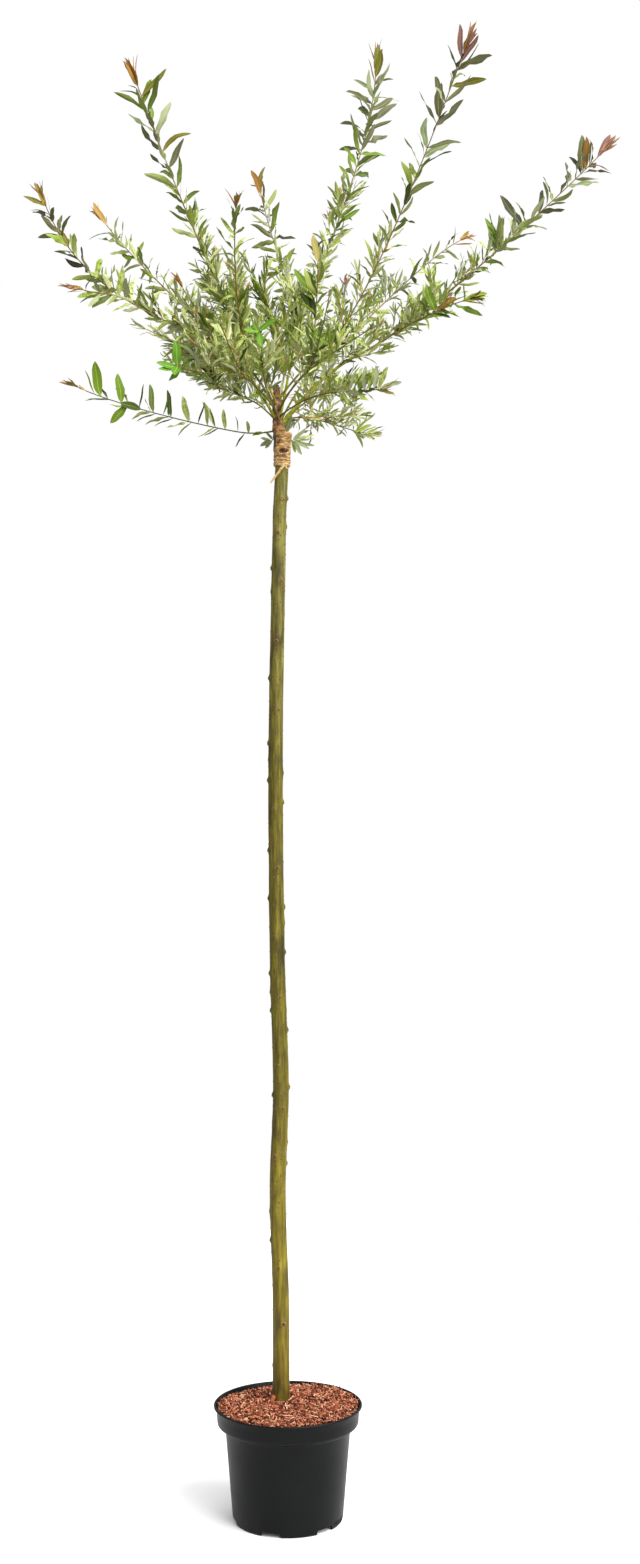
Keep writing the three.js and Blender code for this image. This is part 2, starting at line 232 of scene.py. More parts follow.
def patternOf(piece):
    # reads a piece as rows, with a flat map that keeps its upper side and its underside apart
    mesh = piece.data
    pattern = {key: numbers(getattr(mesh, items), what, width, kind)
               for key, (items, what, width, kind) in meshRows.items()}
    pattern["spots"] = pattern["spots"].astype(float)
    sharp = mesh.attributes.get("sharp_edge")
    pattern["sharp"] = numbers(sharp.data, "value", 1, bool) if sharp else np.zeros(len(mesh.edges), bool)
    sizes = np.diff(np.append(pattern["starts"], len(pattern["corners"])))
    below = (numbers(mesh.polygons, "normal", 3, np.float32)[:, 2] < 0) | (pattern["slots"] == 1)
    low, high = pattern["spots"].min(0), pattern["spots"].max(0)
    flat = (pattern["spots"][pattern["corners"]] - low)[:, :2] / (high - low)[:2]
    pattern["map"] = flat * (0.46, 0.94) + (0.02, 0.03)
    pattern["map"][:, 0] += 0.5 * np.repeat(below, sizes)
    bpy.data.objects.remove(piece)
    bpy.data.meshes.remove(mesh)
    return pattern


def joinedCopies(name, batches):
    # a batch is a pattern, the spots of every copy and the first material of every copy
    rows = {key: [] for key in (*meshRows, "sharp", "map")}
    done = {"spots": 0, "edges": 0, "corners": 0}
    total = sum(len(spots) for _, spots, _ in batches)
    columns = math.ceil(math.sqrt(2 * total))
    lines = math.ceil(total / columns)
    placed = 0
    for pattern, spots, firstSlots in batches:
        steps = np.arange(len(spots))
        rows["spots"].append(spots)
        for key, counted in (("edges", "spots"), ("corners", "spots"), ("cornerEdges", "edges"),
                             ("starts", "corners")):
            shift = steps[:, None] * len(pattern[counted]) + done[counted]
            rows[key].append(pattern[key].reshape(1, -1) + shift)
        rows["slots"].append(pattern["slots"][None] + np.array(firstSlots)[:, None])
        rows["sharp"].append(np.tile(pattern["sharp"], len(spots)))
        cells = placed + steps
        corner = np.stack([cells % columns, cells // columns], 1)[:, None]
        rows["map"].append((corner + pattern["map"][None]) / (columns, lines))
        placed += len(spots)
        for key in done:
            done[key] += len(spots) * len(pattern[key])
    flat = {key: np.concatenate([row.reshape(-1) for row in found]) for key, found in rows.items()}
    mesh = bpy.data.meshes.new(name)
    mesh.vertices.add(done["spots"])
    mesh.edges.add(done["edges"])
    mesh.loops.add(done["corners"])
    mesh.polygons.add(len(flat["starts"]))
    for key, (items, what, _, kind) in meshRows.items():
        getattr(mesh, items).foreach_set(what, flat[key].astype(kind))
    mesh.attributes.new("sharp_edge", "BOOLEAN", "EDGE").data.foreach_set("value", flat["sharp"])
    mesh.uv_layers.new(name="OFBake").data.foreach_set("uv", flat["map"].astype(np.float32))
    mesh.update()
    mesh.validate()
    piece = bpy.data.objects.new(name, mesh)
    bpy.context.scene.collection.objects.link(piece)
    return piece


def laidOut(pattern, places):
    # each place is a spot, a right way, a front way, an up way and the three sizes along them
    return np.array([spot + (pattern["spots"] * size) @ np.stack([right, front, above])
                     for spot, right, front, above, size in places])


# Materials

def paint(code):
    # a colour code as the eye sees it, turned into the light it stands for
    parts = [int(code[i:i + 2], 16) / 255 for i in (1, 3, 5)]
    return [part / 12.92 if part <= 0.04045 else ((part + 0.055) / 1.055) ** 2.4 for part in parts] + [1]


def newMaterial(name, gloss=0.5):
    material = bpy.data.materials.new(name)
    material.use_nodes = True
    shader = material.node_tree.nodes["Principled BSDF"]
    shader.inputs["Specular IOR Level"].default_value = gloss
    return material, material.node_tree, shader


def node(tree, kind, wires=(), **values):
    # values set a socket where the node has one of that name, or else a setting
    made = tree.nodes.new("ShaderNode" + kind)
    for key, value in values.items():
        if key in made.inputs:
            made.inputs[key].default_value = value
        else:
            setattr(made, key, value)
    for socket, source in dict(wires).items():
        tree.links.new(source, made.inputs[socket])
    return made


def blended(tree, share, first, second, kind="MIX"):
    # two colours mixed by a share, each a socket or a colour code
    made = node(tree, "Mix", data_type="RGBA", blend_type=kind)
    for place, value in ((0, share), (6, first), (7, second)):
        if isinstance(value, str):
            made.inputs[place].default_value = paint(value)
        elif isinstance(value, float):
            made.inputs[place].default_value = value
        else:
            tree.links.new(value, made.inputs[place])
    return made.outputs[2]


def ramp(tree, source, stops):
    made = node(tree, "ValToRGB", {"Fac": source})
    band = made.color_ramp
    while len(band.elements) < len(stops):
        band.elements.new(0.5)
    for element, (place, colour) in zip(band.elements, stops):
        element.position = place
        element.color = paint(colour) if isinstance(colour, str) else (colour, colour, colour, 1)
    return made.outputs["Color"]


def stretched(tree, scale=(1, 1, 1)):
    # the piece's own place, squeezed so that a pattern runs longer one way
    place = node(tree, "TexCoord").outputs["Object"]
    return node(tree, "Mapping", {"Vector": place}, Scale=scale).outputs["Vector"]


def grain(tree, place, scale, detail=3.0, roughness=0.55, distortion=0.0):
    made = node(tree, "TexNoise", {"Vector": place}, Scale=scale, Detail=detail,
                Roughness=roughness, Distortion=distortion)
    return made.outputs["Fac"]


def axisOf(tree, axis, vector=None):
    # how far the piece's own place, or a vector, goes along an axis
    return node(tree, "SeparateXYZ", {"Vector": vector or stretched(tree)}).outputs[axis]


def shareOf(tree, source, low, high):
    # 0 at low and 1 at high, whichever is the larger
    return node(tree, "MapRange", {"Value": source}, **{"From Min": low, "From Max": high}).outputs["Result"]


def times(tree, first, second):
    return node(tree, "Math", {0: first, 1: second}, operation="MULTIPLY").outputs[0]


def finish(tree, shader, source, rough, height, strength, distance):
    # roughness from low to high and the relief go on the shader
    spread = node(tree, "MapRange", {"Value": source}, **{"To Min": rough[0], "To Max": rough[1]})
    bump = node(tree, "Bump", {"Height": height}, Strength=strength, Distance=distance)
    tree.links.new(spread.outputs["Result"], shader.inputs["Roughness"])
    tree.links.new(bump.outputs["Normal"], shader.inputs["Normal"])


def grainy(name, colour, scale, rough, strength, distance, gloss=0.5, squeeze=(1, 1, 1), detail=3,
           roughness=0.6):
    # one grain gives the roughness and the relief, and the tint too unless that is one plain colour
    material, tree, shader = newMaterial(name, gloss)
    source = grain(tree, stretched(tree, squeeze), scale, detail, roughness)
    if isinstance(colour, str):
        shader.inputs["Base Color"].default_value = paint(colour)
    else:
        tree.links.new(ramp(tree, source, colour), shader.inputs["Base Color"])
    finish(tree, shader, source, rough, source, strength, distance)
    return material


# The pot

potPlan = {
    "segments": 144,
    "profile": [  # radius and height, from under the foot up the outside, over the lip and down inside
        (0.0640, 0.0062), (0.0664, 0.0056), (0.0670, 0.0006), (0.0676, 0.0), (0.0690, 0.0), (0.0695, 0.0005),
        (0.0705, 0.0040), (0.0729, 0.0330), (0.0753, 0.0620), (0.0777, 0.0900), (0.0798, 0.1150),
        (0.0806, 0.1172), (0.0824, 0.1188), (0.0850, 0.1199), (0.0876, 0.1207), (0.0892, 0.1218),
        (0.0900, 0.1234), (0.0903, 0.1256),
        (0.0908, 0.1330), (0.0914, 0.1418), (0.0920, 0.1428), (0.0938, 0.1431), (0.0946, 0.1438),
        (0.0947, 0.1450), (0.0941, 0.1459), (0.0932, 0.1460), (0.0919, 0.1457), (0.0914, 0.1448),
        (0.0891, 0.1330), (0.0884, 0.1232), (0.0876, 0.1222), (0.0795, 0.1204), (0.0781, 0.1170),
        (0.0740, 0.0700), (0.0697, 0.0220), (0.0684, 0.0090), (0.0670, 0.0080),
    ],
    "notches": 6,
    "firstNotch": math.radians(-17),
    "notchReach": 0.070,
    "notchSize": (0.0255, 0.016, 0.0120),
    "notchRound": 0.0022,
    "ribs": 6,
    "ribTurn": math.radians(58),  # from the front, round to the right
    "ribStep": math.radians(3.5),
    "ribReach": 0.0704,
    "ribSize": (0.0010, 0.0014, 0.0062),
    "ribHeight": 0.0064,
    "ribRound": 0.0004,
    "smooth": 32,
}


def potPlastic():
    material, tree, shader = newMaterial("blackPotPlastic", 0.13)
    place = stretched(tree)
    clouds = grain(tree, place, 26, 4)
    rubbed = grain(tree, stretched(tree, (1, 1, 9)), 90, 3, 0.6)
    shade = ramp(tree, clouds, [(0.3, "#070809"), (0.55, "#0a0b0c"), (0.75, "#0d0e0e")])
    worn = blended(tree, ramp(tree, rubbed, [(0.62, 0.0), (0.85, 0.6)]), shade, "#222221")
    rightEdge = shareOf(tree, axisOf(tree, "X"), 0.0690, 0.0745)
    low = shareOf(tree, axisOf(tree, "Z"), 0.085, 0.070)
    blots = ramp(tree, grain(tree, stretched(tree, (1, 1, 0.7)), 38, 3), [(0.50, 0.0), (0.66, 0.75)])
    dried = times(tree, times(tree, rightEdge, low), blots)
    tree.links.new(blended(tree, dried, worn, "#4a4224"), shader.inputs["Base Color"])  # dried soil
    finish(tree, shader, clouds, (0.36, 0.52), grain(tree, place, 1500, 2), 0.25, 0.0002)
    return material


def boxAt(name, size, reach, turn, height=0.0):
    # a block by the pot's wall at a turn from its front, left open with all of it selected
    pick()
    bpy.ops.mesh.primitive_cube_add(size=1, scale=size, rotation=(0, 0, turn),
                                    location=(reach * math.sin(turn), -reach * math.cos(turn), height))
    box = settle(added(name))
    edit(box)
    return box


def makePot():
    plan = potPlan
    radius, height = plan["profile"][0]
    pick()
    bpy.ops.mesh.primitive_circle_add(vertices=plan["segments"], radius=radius, location=(0, 0, height),
                                      fill_type="NGON")
    pot = added("potShell")
    edit(pot)
    bpy.ops.mesh.flip_normals()
    steps = zip(plan["profile"], plan["profile"][1:])
    drawRim([(high - low, wide / slim) for (slim, low), (wide, high) in steps])
    facesOut(pot)
    settle(pot)
    cutters = []
    for i in range(plan["notches"]):
        turn = plan["firstNotch"] + i * 2 * math.pi / plan["notches"]
        cutter = boxAt("notchCutter", plan["notchSize"], plan["notchReach"], turn)
        wide = Vector((math.cos(turn), math.sin(turn), 0))
        choose(cutter, "EDGE", lambda edge: min(vertex.co.z for vertex in edge.verts) > 0
               and abs(wide.dot((edge.verts[0].co - edge.verts[1].co).normalized())) < 0.1)
        bpy.ops.mesh.bevel(offset=plan["notchRound"], segments=3)
        cutters.append(cutter)
    cutter = joined("notchCutters", cutters)
    cut = pot.modifiers.new("notches", "BOOLEAN")
    cut.operation = "DIFFERENCE"
    cut.solver = "EXACT"
    cut.object = cutter
    settle(pot)
    bpy.data.objects.remove(cutter)
    ribs = []
    for i in range(plan["ribs"]):  # the grip ribs on one foot
        turn = plan["ribTurn"] + i * plan["ribStep"]
        ribs.append(boxAt("rib", plan["ribSize"], plan["ribReach"], turn, plan["ribHeight"]))
        bpy.ops.mesh.bevel(offset=plan["ribRound"], segments=2)
    joined("potShell", [*ribs, pot], plan["smooth"])
    putOn(pot, "pot_plastic", ["pot"], potPlastic())
    print("pot made:", len(pot.data.polygons), "faces")


makePot()


# The stem

stemPlan = {
    "foot": 0.1365,
    "cut": 0.142,
    "top": 1.3838,
    "footRadius": 0.0119,
    "flareRadius": 0.0109,
    "flareHeight": 0.030,
    "midHeight": 0.800,
    "midRadius": 0.0096,
    "topRadius": 0.0085,
    "depthAtFoot": 0.015,
    "depthAtTop": 0.012,
    "sway": [(0.142, -0.0090), (0.278, -0.0096), (0.418, -0.0134), (0.546, -0.0094), (0.712, -0.0140),
             (0.980, -0.0160), (1.280, -0.0110), (1.384, -0.0066)],  # height and side way
    "sides": 44,
    "rings": 500,
}


def smoothThrough(rows, at):
    # a smooth curve through the rows, read at a height
    last = len(rows) - 1
    low = max(0, min(last - 1, sum(1 for height, _ in rows if height <= at) - 1))
    share = (at - rows[low][0]) / (rows[low + 1][0] - rows[low][0])
    before, start, end, after = (rows[min(last, max(0, low + i))][1] for i in (-1, 0, 1, 2))
    return 0.5 * (2 * start + (end - before) * share
                  + (2 * before - 5 * start + 4 * end - after) * share ** 2
                  + (3 * start - before - 3 * end + after) * share ** 3)


def stemAxis(height):
    plan = stemPlan
    depth = mix(plan["depthAtFoot"], plan["depthAtTop"], (height - plan["cut"]) / (plan["top"] - plan["cut"]))
    return np.array((smoothThrough(plan["sway"], max(height, plan["cut"])), depth, height))


def stemRadius(height):
    plan = stemPlan
    if height > plan["midHeight"]:
        share = (height - plan["midHeight"]) / (plan["top"] - plan["midHeight"])
        return mix(plan["midRadius"], plan["topRadius"], share)
    share = (height - plan["cut"]) / (plan["midHeight"] - plan["cut"])
    flare = max(0.0, 1 - (height - plan["cut"]) / plan["flareHeight"])
    return (mix(plan["flareRadius"], plan["midRadius"], share)
            + (plan["footRadius"] - plan["flareRadius"]) * min(1.0, flare) ** 1.5)


# old leaf scars climb the stem in pairs, and the buds that stand out at its sides have real heights
sideBuds = [(1.2135, -1), (1.0724, -1), (0.989, -1), (0.9416, -1), (0.8518, -1), (0.7902, -1), (0.694, -1),
            (0.6465, -1), (0.5375, -1), (0.3515, -1), (1.3033, 1), (0.9133, 1), (0.7787, 1), (0.7209, 1),
            (0.6209, 1), (0.5478, 1), (0.4503, 1)]
frontScars = [(1.301, 0.25), (1.258, -0.25), (1.197, 0.35), (1.120, -0.10), (1.032, 0.30), (0.905, -0.20),
              (0.830, 0.15), (0.742, -0.35), (0.664, 0.20), (0.577, -0.42), (0.522, 0.28), (0.461, -0.48),
              (0.402, 0.10), (0.318, -0.15), (0.246, 0.30)]  # height, and how far round from the front
scarPlan = {
    "sizes": (0.8, 1.15),  # of the scars on the front, as a share of the full width
    "backSizes": (0.75, 1.15),
    "backGaps": (0.016, 0.030),
    "width": 0.0031,
    "budSize": (0.0017, 0.0012, 0.0012),
    "swell": (0.0009, 0.006, 0.55),  # rise of the bark at a scar, how tall it is and how far round it goes
    "budSwell": (0.0021, 0.0028, 0.36),
    "pores": 760,
    "poreSizes": (0.0005, 0.0006, 0.0007, 0.0009, 0.0012),
    "poreHeight": 0.0008,
}


def scarPlaces():
    luck = random.Random(23)
    places = [(height, -math.pi / 2 + away, luck.uniform(*scarPlan["sizes"])) for height, away in frontScars]
    height = 0.19
    turn = 0.4
    while height < 1.33:  # the hidden side
        turn += goldenTurn
        if math.sin(turn) > -0.1:
            places.append((height, turn, luck.uniform(*scarPlan["backSizes"])))
        height += luck.uniform(*scarPlan["backGaps"])
    return places


def stemBark():
    material, tree, shader = newMaterial("oliveStemBark", 0.32)
    streaks = grain(tree, stretched(tree, (1, 1, 0.10)), 260, 4, 0.6)
    clouds = grain(tree, stretched(tree, (1, 1, 0.4)), 42, 3, 0.55)
    specks = node(tree, "TexVoronoi", {"Vector": stretched(tree, (1, 1, 0.8))}, Scale=420)
    rust = grain(tree, stretched(tree, (1, 1, 0.5)), 95, 5, 0.65, 0.4)
    low = ramp(tree, streaks, [(0.30, "#574b0d"), (0.46, "#726513"), (0.60, "#877a1e"), (0.76, "#9d9033")])
    middle = ramp(tree, streaks, [(0.30, "#3b3306"), (0.46, "#584f0b"), (0.60, "#716813"), (0.76, "#8d8526")])
    high = ramp(tree, streaks, [(0.30, "#564f1c"), (0.46, "#706a2b"), (0.60, "#8d8740"), (0.76, "#aca65e")])
    height = axisOf(tree, "Z")
    base = blended(tree, shareOf(tree, height, 0.95, 1.30), middle, high)
    base = blended(tree, shareOf(tree, height, 0.62, 0.32), base, low)
    # painted shade: the bark is darkened towards the foot of the stem, just above the chips
    foot = blended(tree, 1.0, base, "#c9b990", "MULTIPLY")
    base = blended(tree, shareOf(tree, height, 0.26, 0.15), base, foot)
    tone = ramp(tree, clouds, [(0.30, "#8a8768"), (0.50, "#ffffff"), (0.75, "#f2f0b4")])
    toned = blended(tree, 0.8, base, tone, "MULTIPLY")
    rusty = blended(tree, ramp(tree, rust, [(0.60, 0.0), (0.72, 0.6)]), toned, "#6a4526")
    dots = ramp(tree, specks.outputs["Distance"], [(0.10, 0.8), (0.17, 0.0)])
    tree.links.new(blended(tree, dots, rusty, "#46331a"), shader.inputs["Base Color"])
    finish(tree, shader, clouds, (0.42, 0.66), streaks, 0.35, 0.0006)
    return material


def makeStem():
    plan = stemPlan
    line = np.array([stemAxis(height) for height in np.linspace(plan["foot"], plan["top"], 200)])
    rise, *reach = scarPlan["swell"]
    swells = [(height, turn, rise * size, *reach) for height, turn, size in scarPlaces()]
    swells += [(height, 0.0 if side > 0 else math.pi, *scarPlan["budSwell"]) for height, side in sideBuds]

    def radiusAt(share, turn):
        height = plan["foot"] + share * (plan["top"] - plan["foot"])
        radius = stemRadius(height) * (1 + 0.035 * ringNoise(turn, 1.3, height * 16))
        radius += 0.00016 * ringNoise(turn, 9, height * 60)
        for spot, facing, rise, tall, wide in swells:
            off = abs(height - spot)
            if off < tall * 2.5:
                radius += rise * math.exp(-(off / tall) ** 2 - (apart(turn, facing) / wide) ** 2)
        return radius

    stem = limbAlong("stemBark", line, radiusAt, plan["sides"], plan["rings"])
    putOn(stem, "stem_bark", ["stem"], stemBark())


def ringOnce(name, sides, steps, rim):
    # an open circle drawn up in steps and closed, with the second material inside its rim
    pick()
    bpy.ops.mesh.primitive_circle_add(vertices=sides, radius=1, fill_type="NOTHING")
    piece = added(name)
    edit(piece)
    drawRim(steps)
    objectMode()
    for face in piece.data.polygons:
        reach = max(math.hypot(*piece.data.vertices[i].co.xy) for i in face.vertices)
        face.material_index = 0 if reach > rim else 1
    return piece


def scarPattern():
    # a bud scar: an oval ring with a sunk eye
    steps = ((0.30, 0.86), (0.16, 0.82), (-0.10, 0.70), (-0.24, 0.62), (0.16, 0.66), (0.10, 0.5))
    scar = ringOnce("scarOnce", 14, steps, 0.75)
    noise.seed_set(7)  # every run gives the same scar
    for vertex in scar.data.vertices:
        x, y, z = vertex.co
        wild = noise.noise_vector(Vector((x * 1.7, y * 1.7, z))) * 0.20
        vertex.co = (x + wild.x, y * (0.62 if y > 0 else 0.86) + wild.y, z + wild.z * 0.5)
    facesOut(scar)
    return patternOf(scar)


def onStem(height, turn, lift):
    # the spot, side way, up way and outward way on the bark at a height and a turn
    above = unit(stemAxis(height + 0.004) - stemAxis(height - 0.004))
    out = np.array((math.cos(turn), math.sin(turn), 0.0))
    out = unit(out - above * (out @ above))
    return stemAxis(height) + out * (stemRadius(height) + lift), np.cross(above, out), above, out


def makeScars():
    plan = scarPlan
    luck = random.Random(31)
    scar = scarPattern()
    pore = patternOf(ringOnce("poreOnce", 9, ((0.28, 0.72), (0.06, 0.80), (-0.02, 0.5)), 0.8))
    scarBed, poreBed = [], []
    for height, turn, size in scarPlaces():
        wide = plan["width"] * size
        scarBed.append((*onStem(height, turn, 0.0003), (wide, wide * 1.15, wide * 0.5)))
        for _ in range(luck.randint(2, 4)):  # a few pores below each scar
            place = onStem(height - luck.uniform(0.003, 0.011), turn + luck.gauss(0, 0.30), 0.0001)
            small = luck.uniform(0.0006, 0.0009)
            poreBed.append((*place, (small, small * 1.1, plan["poreHeight"])))
    for height, side in sideBuds:
        place = onStem(height - 0.0016, 0.0 if side > 0 else math.pi, 0.0012)
        scarBed.append((*place, plan["budSize"]))
    for _ in range(plan["pores"]):
        place = onStem(luck.uniform(0.146, 1.34), luck.uniform(0, 2 * math.pi), 0.0001)
        small = luck.choice(plan["poreSizes"])
        poreBed.append((*place, (small * luck.uniform(0.8, 1.3), small, plan["poreHeight"])))
    piece = joinedCopies("stemScars", [(pattern, laidOut(pattern, bed), [0] * len(bed))
                                       for pattern, bed in ((scar, scarBed), (pore, poreBed))])
    barks = [grainy(name, [(0.35, dark), (0.65, pale)], 1400, (0.6, 0.9), 0.5, 0.0004, roughness=0.7)
             for name, dark, pale in (("scarRim", "#6b4824", "#a87c45"), ("scarPit", "#1d1109", "#422a16"))]
    putOn(piece, "stem_bark", [], *barks)
    print("stem made with", len(scarBed), "scars and", len(poreBed), "pores")


makeStem()
makeScars()


# The potting mix and the bark chips on it

chipPlan = {
    "seed": 7,
    "reach": 0.0902,
    "rim": 0.1460,  # height of the chips at the rim, and their rise to the stem
    "rise": 0.0008,
    "wave": 0.0016,
    "hollowTurn": math.radians(126),  # at the back left they lie lower
    "hollow": 0.0064,
    "bedBelow": 0.0042,  # how far the bed of potting mix lies below them
    "bedWall": [(0.0872, 0.1238), (0.0770, 0.1190), (0.0690, 0.0240), (0.0672, 0.0085)],  # radius and height
    "fibres": 8400,
    "fibreTilt": 26,
    "strays": [  # pattern, count, room to the rim, lift, length, width, tilt and tints
        (0, 44, 0.010, (0.0006, 0.0020), (0.012, 0.022), (0.0009, 0.0016), 9, (0, 0, 6, 1, 2, 3)),
        (2, 160, 0.005, (-0.0022, 0.0008), (0.005, 0.010), (0.0020, 0.0038), 18, (1, 2, 2, 3, 3, 4)),
    ],
    "rimSprigs": 30,
    # the darkest chip tints are partly real dark bark and partly painted shade of the gaps between chips
    "tints": [("#e2a988", 0.10), ("#cb8460", 0.22), ("#a85d3e", 0.23), ("#773b27", 0.20), ("#442011", 0.13),
              ("#190b06", 0.11), ("#ecc8a6", 0.01)],
}


def chipTop(x, y):
    plan = chipPlan
    reach = math.hypot(x, y) / plan["reach"]
    height = plan["rim"] + plan["rise"] * (1 - reach ** 2)
    height += plan["wave"] * noise.noise(Vector((x * 45, y * 45, 3.1)))
    low = max(0.0, math.cos(math.atan2(y, x) - plan["hollowTurn"])) ** 5
    return height - plan["hollow"] * low * max(0.0, reach - 0.55) / 0.45


def makeMix():
    plan = chipPlan
    pick()
    bpy.ops.mesh.primitive_circle_add(vertices=96, radius=plan["reach"] - 0.0004, fill_type="NGON")
    bed = settle(added("pottingMix"))
    edit(bed)
    for _ in range(14):  # rings towards the middle
        bpy.ops.mesh.inset(thickness=0.0058)
    facesOut(bed)
    edit(bed)
    choose(bed, "EDGE", lambda edge: edge.is_boundary)
    for radius, height in plan["bedWall"]:
        bpy.ops.mesh.extrude_edges_move()
        shape = bmesh.from_edit_mesh(bed.data)
        for vertex in [vertex for vertex in shape.verts if vertex.select]:
            grow = radius / math.hypot(vertex.co.x, vertex.co.y)
            vertex.co = (vertex.co.x * grow, vertex.co.y * grow, height)
        bmesh.update_edit_mesh(bed.data)
    bpy.ops.mesh.edge_face_add()
    objectMode()
    for vertex in bed.data.vertices:
        if vertex.co.z == 0:
            x, y, _ = vertex.co
            crumbs = 0.0009 * noise.noise(Vector((x * 300, y * 300, 0)))
            vertex.co.z = chipTop(x, y) - plan["bedBelow"] + crumbs
    facesOut(bed)
    settle(bed, 60)
    tints = [(0.35, "#140b08"), (0.6, "#2c1710"), (0.8, "#4a2a1c")]
    putOn(bed, "bark_chips", ["bark_chips"],
          grainy("darkPottingMix", tints, 320, (0.8, 1.0), 0.8, 0.002, detail=4, roughness=0.7))


def chipPattern(name, sides, cuts, taper, curl):
    # a splinter: a thin rod cut across, thinned to its ends, skewed and curled
    pick()
    bpy.ops.mesh.primitive_cylinder_add(vertices=sides, radius=0.55, depth=1, rotation=(0, math.pi / 2, 0))
    chip = settle(added(name))
    edit(chip)
    cutAlong(chip, 0, cuts)
    objectMode()
    for vertex in chip.data.vertices:
        x, y, z = vertex.co
        slim = 1 - taper * (2 * abs(x)) ** 2.2
        skew = 0.5 * noise.noise(Vector((x * 2.6, taper * 9, curl)))
        vertex.co = (x, y * slim + skew, z * slim + curl * (x * x - 0.12))
    return patternOf(chip)


def makeChips():
    plan = chipPlan
    luck = random.Random(plan["seed"])
    patterns = [chipPattern("chipFibre", 3, 2, 0.45, 1.8), chipPattern("chipBent", 3, 3, 0.35, -3.6),
                chipPattern("chipFlake", 4, 2, 0.35, 0.5)]
    materials = [grainy(f"barkChip{i + 1}", colour, 900, (0.65, 0.95), 0.35, 0.0004, 0.25, roughness=0.7)
                 for i, (colour, _) in enumerate(plan["tints"])]
    shares = [share for _, share in plan["tints"]]
    beds, tints = ([], [], []), ([], [], [])

    def lay(kind, x, y, lift, length, width, thick, tilt, tint=None):
        turn = luck.uniform(0, 2 * math.pi)
        lean = math.radians(luck.gauss(0, tilt))
        roll = math.radians(luck.gauss(0, 30))
        ahead = np.array((math.cos(turn) * math.cos(lean), math.sin(turn) * math.cos(lean), math.sin(lean)))
        side = unit(np.cross(up, ahead))
        above = np.cross(ahead, side)
        rolled = side * math.cos(roll) + above * math.sin(roll)
        above = above * math.cos(roll) - side * math.sin(roll)
        spot = np.array((x, y, chipTop(x, y) + lift))
        beds[kind].append((spot, ahead, rolled, above, (length, width, thick)))
        tints[kind].append(luck.choices(range(len(shares)), shares)[0] if tint is None else tint)

    def anywhere(reach):
        away = reach * math.sqrt(luck.random())
        turn = luck.uniform(0, 2 * math.pi)
        return away * math.cos(turn), away * math.sin(turn)

    for _ in range(plan["fibres"]):
        length = luck.uniform(0.0030, 0.0070)
        x, y = anywhere(plan["reach"] - length * 0.35)
        kind = 0 if luck.random() < 0.55 else 1
        lay(kind, x, y, luck.uniform(-0.0046, 0.0010), length, luck.uniform(0.0012, 0.0025),
            luck.uniform(0.0009, 0.0016), plan["fibreTilt"])
    for kind, count, room, lift, length, width, tilt, choices in plan["strays"]:
        for _ in range(count):
            x, y = anywhere(plan["reach"] - room)
            lay(kind, x, y, luck.uniform(*lift), luck.uniform(*length), luck.uniform(*width), 0.0009, tilt,
                luck.choice(choices))
    for _ in range(plan["rimSprigs"]):  # a few stand up at the rim on the right
        turn = math.radians(luck.uniform(-50, 70))
        reach = plan["reach"] - luck.uniform(0.001, 0.005)
        lay(0, reach * math.cos(turn), reach * math.sin(turn), 0.0020, luck.uniform(0.005, 0.010), 0.0009,
            0.0007, 40, luck.choice((3, 4, 1)))
    leaning = [unit(np.array(way)) for way in ((0.35, 0.1, 1.0), (1.0, -0.6, -0.3), (0.3, 1.0, 0.0))]
    for side, lift in ((-0.0118, 0.0045), (-0.0102, 0.0030)):  # two flakes lean on the stem's foot
        spot = np.array((stemPlan["sway"][0][1] + side, 0.004, plan["rim"] + lift))
        beds[2].append((spot, *leaning, (0.0105, 0.0034, 0.0010)))
        tints[2].append(2)
    chips = joinedCopies("barkChips", [(pattern, laidOut(pattern, bed), firstSlots)
                                       for pattern, bed, firstSlots in zip(patterns, beds, tints)])
    putOn(chips, "bark_chips", ["bark_chips"], *materials)
    print("chips made:", sum(map(len, beds)), "chips,", len(chips.data.polygons), "faces")


makeMix()
makeChips()


# The graft: knuckle and stub, tape, raffia and its loose end

graftPlan = {
    "foot": 1.3800,
    "top": 1.4480,
    "lowSide": -0.0105,
    "topSide": -0.0148,
    "lowHeight": 1.3843,
    "depth": 0.012,
    "lean": [(1.3800, -0.0100), (1.3860, -0.0112), (1.3970, -0.0132), (1.4100, -0.0150), (1.4300, -0.0152),
             (1.4480, -0.0146)],  # how far to the side the stub's own middle stands at each height
    "radii": [(1.3800, 0.0088), (1.3870, 0.0080), (1.3950, 0.0074), (1.4030, 0.0058), (1.4200, 0.0051),
              (1.4480, 0.0043)],
    "cutSize": (0.0019, 0.0036, 0.0011),
    "cutTurn": (84, -8, -20),  # in degrees
    "cutPlace": (-0.0168, 0.0072, 1.4187),
}


def graftAxis(height):
    plan = graftPlan
    share = (height - plan["lowHeight"]) / (plan["top"] - plan["lowHeight"])
    return np.array((plan["lowSide"] + (plan["topSide"] - plan["lowSide"]) * share, plan["depth"], height))


def graftBark():
    material, tree, shader = newMaterial("scalyGraftBark", 0.25)
    scales = node(tree, "TexVoronoi", {"Vector": stretched(tree, (1, 1, 0.45))}, Scale=330,
                  feature="DISTANCE_TO_EDGE")
    tone = grain(tree, stretched(tree), 190, 4, 0.65)
    knuckle = ramp(tree, tone, [(0.30, "#2c1a0c"), (0.42, "#6b4826"), (0.52, "#a77a4b"), (0.60, "#cd9c69"),
                                (0.74, "#efc591")])
    stub = ramp(tree, tone, [(0.30, "#281814"), (0.44, "#5b3d30"), (0.56, "#8a634b"), (0.72, "#ba9270")])
    base = blended(tree, shareOf(tree, axisOf(tree, "Z"), 1.394, 1.402), knuckle, stub)
    cracks = ramp(tree, scales.outputs["Distance"], [(0.0, 0.45), (0.06, 0.0)])
    tree.links.new(blended(tree, cracks, base, "#21130d"), shader.inputs["Base Color"])
    finish(tree, shader, tone, (0.6, 0.9), tone, 0.6, 0.0010)
    return material


